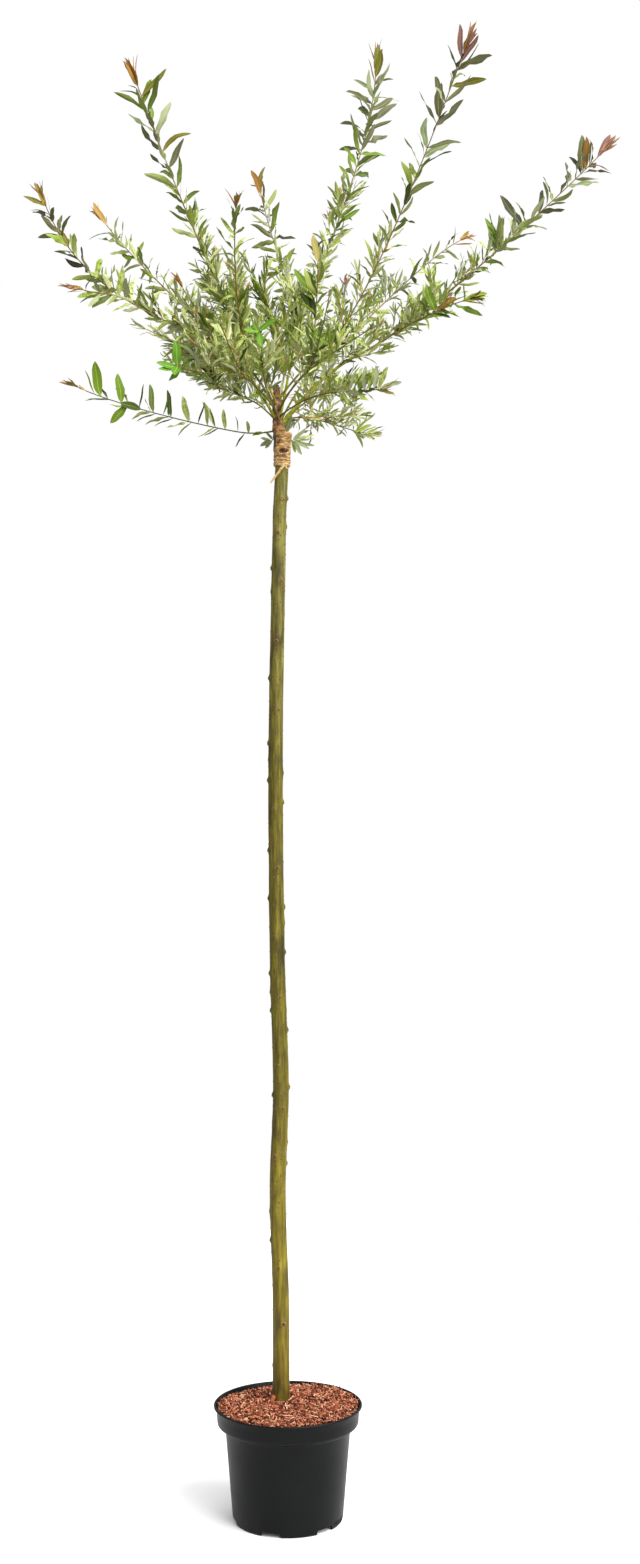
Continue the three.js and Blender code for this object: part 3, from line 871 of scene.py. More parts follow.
def makeGraft():
    plan = graftPlan
    line = np.array([(smoothThrough(plan["lean"], height), plan["depth"], height)
                     for height in np.linspace(plan["foot"], plan["top"], 60)])

    def radiusAt(share, turn):
        radius = smoothThrough(plan["radii"], plan["foot"] + share * (plan["top"] - plan["foot"]))
        knots = 0.16 * ringNoise(turn, 1.6, share * 13) + 0.14 * ringNoise(turn, 4.5, share * 40)
        radius *= 1 + (1 if share < 0.35 else 0.5) * knots
        snapped = 0.5 + 0.5 * ringNoise(turn, 2, 7)
        return radius * (1 if share < 0.97 else 0.55 + 0.35 * snapped)

    graft = limbAlong("graftStub", line, radiusAt, 40, 150)
    putOn(graft, "graft_bark", ["graft"], graftBark())
    pick()
    bpy.ops.mesh.primitive_uv_sphere_add(segments=20, ring_count=10, radius=1)
    cut = added("graftCut")
    edit(cut)
    choose(cut, "VERT", lambda vertex: vertex.co.z > 0.35)
    bpy.ops.transform.resize(value=(1, 1, 0.3), center_override=(0, 0, 0))
    objectMode()
    cut.scale = plan["cutSize"]
    cut.rotation_euler = [math.radians(turn) for turn in plan["cutTurn"]]
    cut.location = plan["cutPlace"]
    settle(cut, 50)
    wood = grainy("paleCutWood", [(0.35, "#c9a25e"), (0.65, "#ecd9a0")], 420, (0.55, 0.8), 0.3, 0.0004,
                  squeeze=(1, 1, 3), roughness=0.55)
    putOn(cut, "graft_bark", [], wood)


tapePlan = {
    "foot": 1.3430,
    "top": 1.3868,
    "footRadius": 0.0102,
    "topRadius": 0.0116,
    "rolls": [(0.0007, 0.90, 0.10), (0.0004, 0.55, 0.12), (-0.0005, 0.72, 0.06)],  # rise, share up, how tall
    "topSide": -0.0072,
    "turns": 5.2,
    "lap": 0.00042,
    "wrinkle": 0.00035,
    "eye": (1.3622, math.radians(-80)),  # height and turn
    "eyeSize": (0.0036, 0.60),  # how tall it is and how far round it goes
    "eyeRidge": 0.0009,
    "eyeDepth": 0.0014,
    "slit": (1.3499, -1.95),  # a crack between the turns of raffia
    "slitSize": (0.0011, 0.62),
    "slitDepth": 0.0016,
    "budScales": 17,
    "outerScales": 11,  # of which so many stand in a ring
    "strings": [1.3458, 1.3478, 1.3520],
    "stringRadius": 0.00062,
    "knot": 1.3440,
    "knotOff": (0.0030, -0.0112, 0),
    "strips": [  # start and end from the knot, width, thickness, twist and bow
        ((0, 0, 0), (-0.0172, -0.0014, -0.0232), 0.0030, 0.0009, 0.5, 0.0007),
        ((0.0006, -0.0006, 0.0004), (-0.0080, -0.0016, -0.0125), 0.0022, 0.0007, -0.6, 0.0009),
        ((0.0004, -0.0004, 0.0003), (0.0042, 0.0006, -0.0048), 0.0024, 0.0006, 0.9, 0.0003),
    ],
}


def tapeMaterial():
    material, tree, shader = newMaterial("waxyTanTape", 0.55)
    bands = grain(tree, stretched(tree, (0.25, 0.25, 1)), 420, 4, 0.6)
    stains = grain(tree, stretched(tree), 120, 4, 0.6, 0.5)
    base = ramp(tree, bands, [(0.34, "#6b4520"), (0.45, "#a2763a"), (0.57, "#cda05c"), (0.70, "#f2d8a4")])
    dirty = blended(tree, ramp(tree, stains, [(0.52, 0.0), (0.66, 0.9)]), base, "#4d321a")
    # painted shade: the upper left of the tape turns dark, as if in shade
    left = shareOf(tree, axisOf(tree, "X"), -0.0146, -0.0162)
    upper = shareOf(tree, axisOf(tree, "Z"), 1.3640, 1.3690)
    bark = ramp(tree, stains, [(0.40, "#1a0f07"), (0.50, "#4a301a"), (0.60, "#7a5632")])  # painted shade at the upper left of the tape, in dark bark tones
    tree.links.new(blended(tree, times(tree, left, upper), dirty, bark), shader.inputs["Base Color"])
    finish(tree, shader, stains, (0.26, 0.5), bands, 0.3, 0.0005)
    return material


def tapeShare(height):
    return (height - tapePlan["foot"]) / (tapePlan["top"] - tapePlan["foot"])


def tapeRadius(height):
    share = tapeShare(height)
    radius = mix(tapePlan["footRadius"], tapePlan["topRadius"], share)
    for rise, spot, tall in tapePlan["rolls"]:
        radius += rise * math.exp(-((share - spot) / tall) ** 2)
    return radius


def tapeAxis(height):
    low = stemAxis(tapePlan["foot"])
    high = np.array((tapePlan["topSide"], graftPlan["depth"], tapePlan["top"]))
    return low + (high - low) * tapeShare(height)


def makeTape():
    plan = tapePlan
    line = np.array([tapeAxis(height) for height in np.linspace(plan["foot"], plan["top"], 60)])
    eyeHeight, eyeTurn = plan["eye"]

    def offFrom(place, size, height, turn):
        return ((height - place[0]) / size[0]) ** 2 + ((turn - place[1]) / size[1]) ** 2

    def radiusAt(share, turn):
        height = plan["foot"] + share * (plan["top"] - plan["foot"])
        climb = (share * plan["turns"] - turn / (2 * math.pi)) % 1.0  # each turn laps the one below
        radius = tapeRadius(height) + plan["lap"] * (1 - climb) ** 3
        radius += plan["wrinkle"] * ringNoise(turn, 2.2, share * 9)
        off = offFrom(plan["eye"], plan["eyeSize"], height, turn)
        radius += plan["eyeRidge"] * math.exp(-(math.sqrt(off) - 1.05) ** 2 * 9)
        radius -= plan["eyeDepth"] * math.exp(-(off / 0.70) ** 3)
        radius -= plan["slitDepth"] * math.exp(-offFrom(plan["slit"], plan["slitSize"], height, turn))
        return radius - (0.0009 if share < 0.012 or share > 0.988 else 0)

    tape = limbAlong("graftTape", line, radiusAt, 64, 130)
    putOn(tape, "wrap_tape", ["graft_wrap"], tapeMaterial())
    lumps = []
    luck = random.Random(5)
    for i in range(plan["budScales"]):  # the scaly bud in the eye, with a ring of dark scales round it
        pick()
        bpy.ops.mesh.primitive_ico_sphere_add(subdivisions=2, radius=1)
        lump = added("budScale")
        around = i * 2 * math.pi / plan["outerScales"]
        reach = 0.85 if i < plan["outerScales"] else luck.uniform(0, 0.4)
        turn = eyeTurn + 0.52 * reach * math.cos(around)
        height = eyeHeight + 0.0026 * reach * math.sin(around)
        out = np.array((math.cos(turn), math.sin(turn), 0))
        lump.location = tapeAxis(height) + out * (tapeRadius(height) - 0.0003)
        lump.scale = (luck.uniform(0.0013, 0.0020), 0.0009, luck.uniform(0.0007, 0.0012))
        lump.rotation_euler = (0, luck.uniform(-0.5, 0.5), turn + math.pi / 2)
        rough = lump.modifiers.new("rough", "DISPLACE")
        rough.texture = bpy.data.textures.new("budRough", "CLOUDS")
        rough.texture.noise_scale = 0.0009
        rough.strength = 0.0005
        lumps.append(settle(lump, 40))
    tints = [(0.35, "#1c0e08"), (0.55, "#57301f"), (0.72, "#8d5a3c")]
    putOn(joined("graftBud", lumps), "graft_bark", [],
          grainy("darkBudScales", tints, 500, (0.4, 0.7), 0.4, 0.0003, 0.3))


def raffiaRing(i, height):
    # a turn of raffia, a ring that dips and rises
    pick()
    bpy.ops.mesh.primitive_torus_add(major_segments=72, minor_segments=8, major_radius=1, minor_radius=0.1)
    ring = added("raffiaTurn")
    centre = tapeAxis(height)
    thick = tapePlan["stringRadius"]
    for vertex in ring.data.vertices:
        x, y, z = vertex.co
        turn = math.atan2(y, x)
        off = (math.hypot(x, y) - 1) / 0.1
        dip = 0.0008 * math.sin(turn + i * 2.1) + 0.00015 * math.sin(turn * 5 + i)
        reach = tapeRadius(height) + 0.0004 + off * thick * 0.75
        lift = z / 0.1 * thick * (1.3 + 0.3 * math.sin(turn * 9 + i))
        vertex.co = (centre[0] + reach * math.cos(turn), centre[1] + reach * math.sin(turn),
                     height + dip + lift)
    return ring


def ribbon(start, end, width, thick, twist, bow):
    # a strip of raffia: a block cut into steps, with its rings turned a little
    pick()
    bpy.ops.mesh.primitive_cube_add(size=1)
    strip = added("raffiaStrip")
    edit(strip)
    cutAlong(strip, 2, 26)
    cutAlong(strip, 0, 3)
    objectMode()
    ahead = unit(end - start)
    side = unit(np.cross(ahead, (0, -1, 0)))
    front = np.cross(side, ahead)
    for vertex in strip.data.vertices:
        x, y, z = vertex.co
        share = z + 0.5
        turn = twist * (share - 0.3)
        groove = 0.25 * math.cos(x * 22) if abs(y) > 0.4 else 0
        across = x * width * (1 - 0.25 * share + 0.08 * math.sin(share * 11))
        deep = y * (1 + groove) * thick
        middle = start + (end - start) * share + front * bow * math.sin(share * math.pi)
        vertex.co = (middle + side * (across * math.cos(turn) - deep * math.sin(turn))
                     + front * (across * math.sin(turn) + deep * math.cos(turn)))
    facesOut(strip)
    return settle(strip, 40)


def makeRaffia():
    plan = tapePlan
    raffia = grainy("paleRaffia", [(0.3, "#a97c46"), (0.5, "#d2ab70"), (0.7, "#ecd3a2")], 900, (0.5, 0.75),
                    0.5, 0.0005, 0.35, squeeze=(1, 1, 0.35))
    rings = [raffiaRing(i, height) for i, height in enumerate(plan["strings"])]
    putOn(joined("raffiaTurns", rings, 60), "wrap_tape", [], raffia)
    knot = tapeAxis(plan["knot"]) + plan["knotOff"]
    strips = [ribbon(knot + start, knot + end, *look) for start, end, *look in plan["strips"]]
    putOn(joined("raffiaTie", strips), "wrap_tape", ["tie"], raffia)


makeGraft()
makeTape()
makeRaffia()
print("graft made")


# The boughs: where each leaves the graft, where it ends, how it bows, and its radius and tip radius

boughs = {
    "right": (1.394, (0.091, 0.025, 1.490), 0.011, 0.0033, 0.0024),
    "left": (1.395, (-0.063, -0.015, 1.472), 0.005, 0.0027, 0.0020),
    "centre": (1.400, (0.005, 0.020, 1.486), 0.000, 0.0026, 0.0020),
    "upper_left": (1.418, (-0.048, -0.020, 1.487), 0.004, 0.0025, 0.0019),
    "upper_right": (1.428, (0.043, -0.025, 1.482), 0.004, 0.0026, 0.0019),
    "low_left": (1.391, (-0.064, 0.000, 1.386), -0.003, 0.0019, 0.0015),
    "low_right": (1.402, (0.033, 0.050, 1.412), 0.003, 0.0019, 0.0015),
    "low_front": (1.407, (0.043, -0.060, 1.422), 0.004, 0.0019, 0.0014),
    "right_back": (1.420, (0.065, 0.080, 1.515), 0.007, 0.0023, 0.0018),
    "back": (1.410, (-0.003, 0.130, 1.503), 0.008, 0.0025, 0.0019),
    "back_left": (1.404, (-0.052, 0.110, 1.488), 0.008, 0.0024, 0.0018),
    "back_right": (1.398, (0.038, 0.120, 1.493), 0.008, 0.0024, 0.0018),
    "back_low_left": (1.397, (-0.057, 0.080, 1.445), 0.005, 0.0020, 0.0016),
    "back_low_right": (1.392, (0.036, 0.095, 1.451), 0.005, 0.0020, 0.0016),
    "front": (1.401, (-0.026, -0.060, 1.430), 0.003, 0.0020, 0.0016),
    "front_left": (1.410, (-0.050, -0.085, 1.437), 0.004, 0.0022, 0.0017),
    "front_right": (1.414, (0.024, -0.100, 1.441), 0.005, 0.0023, 0.0018),
}
woodShare = {"right": 0.70, "left": 0.68, "centre": 0.68, "upper_left": 0.64}  # the living wood is slimmer
slimShare = 0.55
boughTints = {name: "green" for name in ("right", "centre", "upper_right", "left", "upper_left")}
boughTints.update({name: "brown" for name in ("low_left", "low_right", "low_front")})  # the others are tan
boughKnots = {"gap": 0.016, "tall": 0.0022, "wide": 0.7, "rise": 0.20}


def boughLine(name):
    leaves, end, bow, _, _ = boughs[name]
    start, end = graftAxis(leaves), np.array(end)
    middle = (start + end) / 2 + up * bow
    return bezier((start, 2 * middle - (start + end) / 2, end), 48)


def boughBark(name, *tints):
    material, tree, shader = newMaterial(name, 0.25)
    tone = grain(tree, stretched(tree, (1, 1, 0.6)), 230, 4, 0.6)
    blush = grain(tree, stretched(tree), 55, 3, 0.5)
    base = ramp(tree, tone, list(zip((0.28, 0.45, 0.60, 0.78), tints)))
    # painted shade: the bark turns dark where its surface faces down, as if in shade
    facing = axisOf(tree, "Z", node(tree, "NewGeometry").outputs["Normal"])
    shadedBelow = blended(tree, shareOf(tree, facing, -0.95, -0.60), "#3d320e", base)  # painted shade: the underside is darker
    brown = blended(tree, ramp(tree, blush, [(0.57, 0.0), (0.74, 0.45)]), shadedBelow, "#6f4d1c")
    high = ramp(tree, tone, [(0.30, "#5a4324"), (0.46, "#7c5f36"), (0.60, "#977a48"), (0.78, "#b0955e")])
    rise = shareOf(tree, axisOf(tree, "Z"), 1.47, 1.57)
    tree.links.new(blended(tree, rise, brown, high), shader.inputs["Base Color"])
    finish(tree, shader, tone, (0.4, 0.62), tone, 0.35, 0.0005)
    return material


boughBarks = {"green": boughBark("greenBoughBark", "#555808", "#81840f", "#a3a418", "#bfbf34"),
              "brown": boughBark("brownBoughBark", "#322d0b", "#544e13", "#70691d", "#8d8630"),
              "tan": boughBark("tanBoughBark", "#504a10", "#736d1d", "#918a2a", "#ada43c")}


def makeBoughs():
    for name, (_, _, _, radius, tip) in boughs.items():
        slim = woodShare.get(name, slimShare)
        radius, tip = radius * slim, tip * slim
        line = boughLine(name)
        long = longOf(line)
        luck = random.Random(name)
        count = int(long / boughKnots["gap"])
        knots = [(i / count + luck.uniform(-0.02, 0.02), luck.uniform(*anyTurn)) for i in range(1, count)]
        shift = luck.uniform(0, 50)

        def radiusAt(share, turn):
            here = mix(radius, tip, share) + 0.35 * radius * math.exp(-(share * long / 0.010) ** 2)
            here *= 1 + 0.07 * ringNoise(turn, 1.4, share * long * 90 + shift)
            for spot, facing in knots:
                off = (share - spot) * long / boughKnots["tall"]
                if abs(off) < 3:
                    swing = apart(turn, facing) / boughKnots["wide"]
                    here += boughKnots["rise"] * radius * math.exp(-off * off - swing ** 2)
            return here

        bough = limbAlong("bough_" + name + "_bark", line, radiusAt, 18, max(30, int(long / 0.0016)))
        putOn(bough, "bough_bark", ["bough_" + name], boughBarks[boughTints.get(name, "tan")])
    print("boughs made:", len(boughs))


makeBoughs()


# The wands, each from its bough to its tip, with its sway to the side and its lift in the middle

wandLook = {
    "size": (0.023, 0.046),  # length of a leaf at the wand's foot and towards its tip
    "wide": (0.18, 0.18),  # its width as a share of its length, at the same places
    "gap": (0.0085, 0.0130),  # between pairs of leaves
    "rise": 0.12,  # how much the leaves turn upwards
    "sideways": 0.52,  # how far up it carries side shoots
    "long": 0.056,  # the longest side shoot, at its foot
    "steep": 0.35,  # how much its side shoots turn upwards
    "tones": ("low", "middle", "top"),  # tints of its sprays, from its foot to its tip
    "tuft": ("ochre", "bronze"),  # the folded young leaves at its tip
    "firstLeaf": 0.030,  # from the wand's foot, and from its tip
    "lastLeaf": 0.020,
    "borders": (0.40, 0.68),  # where its tints change
    "kept": 0.94,  # the share of the leaves that it still has
    "same": 0.75,  # the share of them with the tint of their pair
    "spread": (0.95, 0.78),  # how far they stand off, at the foot and at the tip
    "firstShoot": 0.012,
    "shootGap": (0.011, 0.018),
    "shortest": 0.018,  # side shoot, at the end of its row
    "leaving": (0.4, 0.85),  # the angles at which they leave the wand
    "shootLeaf": (0.0200, 0.025),
    "heart": 0.30,  # up to here the side shoots belong to the heart of the crown
}
wands = {
    "left": {"bough": "left", "tip": (-0.302, -0.130, 1.672), "sway": -0.002, "lift": -0.044,
             "part": "Left", "size": (0.028, 0.032), "wide": (0.30, 0.25), "gap": (0.0066, 0.0112),
             "sideways": 0.62, "long": 0.046, "tones": ("low", "low", "dark"), "tuft": ("ochre", "olive")},
    "left_back": {"bough": "left", "tip": (-0.273, 0.170, 1.729), "sway": 0.005, "lift": -0.012,
                  "part": "Left", "size": (0.022, 0.034), "gap": (0.0078, 0.0108), "sideways": 0.40,
                  "long": 0.044, "tones": ("low", "middle", "middle"), "tuft": ("ochre", "rose")},
    "left_inner": {"bough": "left", "tip": (-0.150, 0.040, 1.608), "sway": -0.002, "lift": -0.008,
                   "part": "Left", "size": (0.022, 0.032), "tuft": ("bronze", "ochre")},
    "left_shoot": {"wand": ("left", 0.55), "tip": (-0.268, -0.150, 1.543), "sway": 0.0, "lift": -0.004,
                   "part": "Left", "size": (0.024, 0.034), "sideways": 0, "tuft": ("ochre", "rose")},
    "upper_left": {"bough": "upper_left", "tip": (-0.196, -0.110, 1.834), "sway": -0.010, "lift": 0.004,
                   "part": "Left", "gap": (0.0088, 0.0132), "tones": ("low", "middle", "dark"),
                   "tuft": ("bronze", "ochre")},
    "centre_front": {"bough": "upper_left", "tip": (-0.054, -0.190, 1.643), "sway": -0.012, "lift": 0.006,
                     "part": "Front", "size": (0.022, 0.034), "tones": ("heart", "low", "green"),
                     "tuft": ("bronze", "olive")},
    "centre_back": {"bough": "centre", "tip": (-0.046, 0.230, 1.796), "sway": 0.006, "lift": 0.0,
                    "part": "Back", "sideways": 0.48, "size": (0.022, 0.040), "tuft": ("olive", "bronze")},
    "upper_centre": {"bough": "centre", "tip": (0.113, 0.150, 1.947), "sway": 0.016, "lift": -0.009,
                     "part": "Right", "gap": (0.0068, 0.0098), "sideways": 0.56, "long": 0.050,
                     "tuft": ("bronze", "copper")},
    "upper_right": {"bough": "upper_right", "tip": (0.231, -0.140, 1.862), "sway": 0.014, "lift": -0.006,
                    "part": "Right", "gap": (0.0098, 0.0148), "sideways": 0.40, "long": 0.046,
                    "tones": ("low", "middle", "top"), "tuft": ("copper", "bronze")},
    "right": {"bough": "right", "tip": (0.433, 0.050, 1.784), "sway": -0.001, "lift": -0.018,
              "part": "Right", "size": (0.023, 0.040), "gap": (0.0080, 0.0138), "sideways": 0.62,
              "tones": ("low", "middle", "dark"), "tuft": ("copper", "rose")},
    "right_shoot": {"wand": ("right", 0.12), "tip": (0.253, -0.090, 1.533), "sway": 0.001, "lift": 0.012,
                    "part": "Right", "size": (0.024, 0.035), "sideways": 0.72,
                    "tones": ("low", "green", "green"), "tuft": ("olive", "lime")},
    "right_back": {"bough": "right_back", "tip": (0.259, 0.200, 1.690), "sway": -0.001, "lift": 0.014,
                   "part": "Right", "size": (0.022, 0.034), "long": 0.046,
                   "tones": ("low", "middle", "middle"), "tuft": ("ochre", "bronze")},
    "low_left": {"bough": "low_left", "tip": (-0.286, -0.060, 1.445), "sway": -0.004, "lift": -0.008,
                 "part": "Left", "size": (0.032, 0.030), "wide": (0.17, 0.12), "gap": (0.028, 0.030),
                 "rise": 0.3, "upright": True, "sideways": 0, "tones": ("low", "middle", "dark"),
                 "tuft": ("olive", "ochre")},
    "low_right": {"bough": "low_right", "tip": (0.128, 0.140, 1.412), "sway": 0.001, "lift": -0.006,
                  "part": "Right", "size": (0.020, 0.026), "gap": (0.0072, 0.0085), "rise": 0.45,
                  "long": 0.032, "sideways": 0.85, "upright": True, "tones": ("low", "low", "green"),
                  "tuft": ("lime", "cream")},
    "low_front": {"bough": "low_front", "tip": (0.134, -0.150, 1.414), "sway": -0.001, "lift": -0.001,
                  "part": "Front", "size": (0.023, 0.031), "wide": (0.22, 0.23), "gap": (0.0076, 0.0085),
                  "rise": 0.45, "long": 0.032, "sideways": 0.8, "upright": True,
                  "tones": ("low", "low", "low"), "tuft": ("ochre", "cream")},
    "green_left": {"bough": "front_left", "tip": (-0.157, -0.130, 1.469), "sway": -0.009, "lift": -0.012,
                   "part": "Left", "steep": 1.3, "size": (0.018, 0.022), "bare": 0.67, "sideways": 0.85,
                   "long": 0.040, "tones": ("heart", "heart", "heart")},
    "green_front": {"bough": "front", "tip": (-0.037, -0.195, 1.480), "sway": 0.002, "lift": 0.005,
                    "part": "Front", "size": (0.018, 0.020), "bare": 0.80,
                    "tones": ("heart", "heart", "heart")},
    "front_left": {"bough": "front_left", "tip": (-0.090, -0.270, 1.489), "sway": -0.002, "lift": 0.006,
                   "part": "Front", "steep": 1.1, "size": (0.019, 0.025), "tones": ("heart", "low", "low"),
                   "tuft": ("cream", "lime")},
    "front_right": {"bough": "front_right", "tip": (0.052, -0.290, 1.493), "sway": 0.005, "lift": 0.004,
                    "part": "Front", "size": (0.019, 0.024), "gap": (0.013, 0.018), "sideways": 0.3,
                    "tones": ("heart", "low", "low"), "tuft": ("cream", "lime")},
    "front_far_right": {"bough": "front_right", "tip": (0.099, -0.240, 1.461), "sway": 0.010, "lift": 0.008,
                        "part": "Front", "size": (0.019, 0.026), "tones": ("heart", "low", "low"),
                        "tuft": ("cream", "sage")},
    "yellow": {"bough": "front_right", "tip": (0.032, -0.200, 1.574), "sway": 0.009, "lift": 0.010,
               "part": "Front", "size": (0.020, 0.034), "bare": 0.78, "tones": ("heart", "green", "green")},
    "back": {"bough": "back", "tip": (0.012, 0.340, 1.653), "sway": -0.002, "lift": 0.004, "part": "Back",
             "sideways": 0.40, "size": (0.021, 0.036), "tuft": ("olive", "bronze")},
    "back_left": {"bough": "back_left", "tip": (-0.095, 0.300, 1.683), "sway": 0.0, "lift": 0.002,
                  "part": "Back", "sideways": 0.40, "size": (0.021, 0.036), "tuft": ("bronze", "ochre")},
    "back_far_left": {"bough": "back_left", "tip": (-0.142, 0.260, 1.604), "sway": -0.006, "lift": 0.006,
                      "part": "Back", "size": (0.021, 0.034), "tuft": ("ochre", "cream")},
    "back_right": {"bough": "back_right", "tip": (0.077, 0.300, 1.658), "sway": 0.008, "lift": 0.006,
                   "part": "Back", "sideways": 0.32, "size": (0.021, 0.034), "tuft": ("copper", "bronze")},
    "back_low_left": {"bough": "back_low_left", "tip": (-0.119, 0.220, 1.500), "sway": 0.0, "lift": 0.004,
                      "part": "Back", "steep": 1.1, "size": (0.020, 0.028),
                      "tones": ("heart", "low", "low"), "tuft": ("cream", "lime")},
    "back_low_right": {"bough": "back_low_right", "tip": (0.076, 0.240, 1.496), "sway": 0.001,
                       "lift": 0.003, "part": "Back", "size": (0.020, 0.028),
                       "tones": ("heart", "low", "low"), "tuft": ("cream", "lime")},
}
sprigs = {  # two short sprigs behind the tape: where each leaves the graft, its tip, lift and bare share
    "low_sprig_right": {"leaves": 1.396, "tip": (0.038, 0.108, 1.381), "lift": -0.010, "bare": 0.36,
                        "part": "HeartRight"},
    "low_sprig_left": {"leaves": 1.394, "tip": (-0.047, 0.104, 1.384), "lift": -0.012, "bare": 0.32,
                       "part": "HeartLeft"},
}

# Leaves that stand out by themselves: share along the wand, heading, length, width share and tint
marked = {
    "green_left": [
        (1.0, (0.05, -0.2, 1.0), 0.032, 0.36, "bright"), (0.99, (-1.0, -0.3, 0.12), 0.027, 0.34, "bright"),
        (0.98, (-0.95, -0.3, -0.18), 0.026, 0.32, "bright"),
        (1.0, (-0.25, -0.8, -0.5), 0.018, 0.55, "bright"),
        (0.93, (-0.75, -0.3, -0.75), 0.022, 0.36, "bright"),
        (0.95, (0.55, -0.6, 0.25), 0.020, 0.40, "leafGreen"),
        (0.97, (-0.35, -0.2, 0.85), 0.022, 0.20, "bronze")],
    "green_front": [
        (1.0, (0.80, -0.3, 0.62), 0.025, 0.30, "bright"),
        (0.99, (-1.0, -0.35, 0.02), 0.020, 0.42, "bright"),
        (0.98, (0.06, -0.4, -1.0), 0.021, 0.36, "bright"),
        (0.97, (-0.5, -0.5, 0.6), 0.015, 0.40, "leafGreen")],
    "yellow": [
        (1.0, (-0.20, 0.0, 1.0), 0.034, 0.25, "straw"),
        (0.72, (-0.72, -0.1, 0.75), 0.043, 0.22, "leafGreen"),
        (0.70, (-0.42, -0.1, 0.9), 0.030, 0.24, "moss"), (0.55, (-0.55, 0.0, 0.85), 0.036, 0.22, "moss"),
        (0.53, (-0.25, -0.1, 0.95), 0.034, 0.22, "deep")],
    "right_shoot": [
        (0.92, (0.9, -0.2, 0.25), 0.034, 0.26, "lime"),
        (0.60, (-0.35, -0.2, 0.9), 0.036, 0.32, "leafGreen"),
        (0.62, (0.75, -0.2, 0.55), 0.030, 0.34, "bronze"), (0.45, (0.95, -0.2, 0.2), 0.034, 0.24, "fern")],
    "low_left": [
        (0.86, (-0.34, -0.1, 1.0), 0.044, 0.28, "fern"), (0.73, (-0.08, -0.1, 1.0), 0.038, 0.28, "fern"),
        (0.70, (-0.5, -0.1, -0.85), 0.030, 0.38, "fern"), (0.74, (0.9, -0.1, -0.30), 0.028, 0.36, "moss"),
        (0.90, (-0.45, -0.1, 1.0), 0.034, 0.06, "olive"), (0.80, (-1.0, -0.1, 0.05), 0.032, 0.07, "moss"),
        (0.00, (0.06, -0.2, 1.0), 0.021, 0.07, "deep"),
        (0.08, (-0.02, -0.2, 1.0), 0.026, 0.22, "dappledSage"),
        (0.19, (-0.12, -0.2, 1.0), 0.031, 0.18, "sage"),
        (0.31, (-0.20, -0.2, 1.0), 0.033, 0.24, "dappledSage"),
        (0.42, (-0.12, -0.2, 1.0), 0.035, 0.18, "moss"), (0.53, (-0.18, -0.2, 1.0), 0.036, 0.20, "sage"),
        (0.25, (0.30, -0.2, 1.0), 0.027, 0.10, "deep"), (0.47, (0.35, -0.2, 1.0), 0.030, 0.08, "moss"),
        (0.62, (0.20, -0.2, 1.0), 0.032, 0.07, "deep"), (0.14, (-0.35, -0.2, 1.0), 0.026, 0.10, "moss"),
        (0.51, (-0.95, -0.2, -0.28), 0.028, 0.08, "moss"),
        (0.40, (-0.90, -0.2, -0.32), 0.028, 0.08, "deep"),
        (0.29, (-0.80, -0.2, -0.62), 0.025, 0.09, "sage"),
        (0.12, (-0.80, -0.2, -0.45), 0.022, 0.10, "deep")],
    "low_front": [
        (1.0, (0.92, -0.3, 0.30), 0.030, 0.22, "mist"),
        (0.98, (0.45, -0.3, 0.90), 0.030, 0.24, "dappledSage"),
        (0.92, (0.20, -0.3, 1.0), 0.030, 0.22, "mist"),
        (0.84, (0.12, -0.3, 1.0), 0.028, 0.22, "dappledSage"),
        (0.95, (0.80, -0.3, -0.20), 0.026, 0.18, "sage"), (0.75, (0.05, -0.3, 1.0), 0.030, 0.22, "mist"),
        (0.66, (0.10, -0.3, 1.0), 0.028, 0.20, "dappledSage")],
    "left_shoot": [
        (0.45, (-1.0, -0.2, -0.10), 0.036, 0.24, "dappledGreen"),
        (0.30, (-0.8, -0.2, -0.42), 0.030, 0.28, "sage"), (0.55, (-0.95, -0.2, -0.30), 0.030, 0.13, "moss"),
        (0.30, (-0.35, -0.2, 0.95), 0.028, 0.20, "ochre"),
        (0.15, (0.1, -0.2, 1.0), 0.034, 0.26, "dappledSage")],
    "upper_centre": [
        (0.99, (0.10, -0.1, 1.0), 0.038, 0.26, "olive"), (0.97, (0.30, -0.1, 0.9), 0.040, 0.24, "olive")],
    "upper_left": [
        (0.965, (0.72, -0.1, 0.72), 0.046, 0.18, "olive"),
        (0.94, (0.25, -0.1, 1.0), 0.032, 0.26, "leafGreen")],
    "right": [
        (0.985, (0.55, -0.1, 0.85), 0.038, 0.20, "copper"), (0.92, (-0.10, -0.1, 1.0), 0.048, 0.24, "drab"),
        (0.93, (0.12, -0.1, 1.0), 0.042, 0.20, "bronze"), (0.66, (-0.62, -0.1, 0.9), 0.052, 0.20, "dusk"),
        (0.55, (0.12, -0.1, 1.0), 0.046, 0.20, "drab"),
        (0.56, (-0.42, -0.1, 0.9), 0.044, 0.18, "leafGreen")],
    "upper_right": [
        (0.985, (-0.12, -0.1, 1.0), 0.042, 0.16, "copper"),
        (0.97, (0.55, -0.1, 0.85), 0.040, 0.16, "copper"), (0.90, (0.95, -0.1, 0.12), 0.044, 0.20, "olive"),
        (0.80, (-0.10, -0.1, 1.0), 0.042, 0.24, "drab")],
    "centre_back": [
        (0.98, (-0.30, -0.1, 1.0), 0.036, 0.24, "bronze")],
    "left": [
        (0.985, (-0.80, -0.2, 0.42), 0.030, 0.24, "olive"),
        (0.98, (-0.30, -0.2, 0.8), 0.032, 0.20, "ochre")],
    "left_back": [
        (0.985, (-0.45, -0.2, 0.75), 0.036, 0.20, "ochre")],
}


def wandLine(name):
    plan = wands[name]
    if "bough" in plan:
        parent = boughLine(plan["bough"])
        start, heading = parent[-1], unit(parent[-1] - parent[-2])
    else:  # it grows from another wand
        other, share = plan["wand"]
        parent = wandLine(other)
        start = between(parent, share)
        heading = unit(between(parent, share + 0.01) - start)
    tip = np.array(plan["tip"])
    first = start + heading * 0.2 * np.linalg.norm(tip - start)
    middle = (start + tip) / 2 + np.array((plan["sway"], 0, plan["lift"]))
    second = (8 * middle - start - tip - 3 * first) / 3
    return bezier((start, first, second, tip), 60)


def trimmed(line, plan):
    # the wood of a wand stops short of the tip that its last leaves reach
    return cutShort(line, plan.get("bare", 1 - plan["size"][1] / longOf(line)))


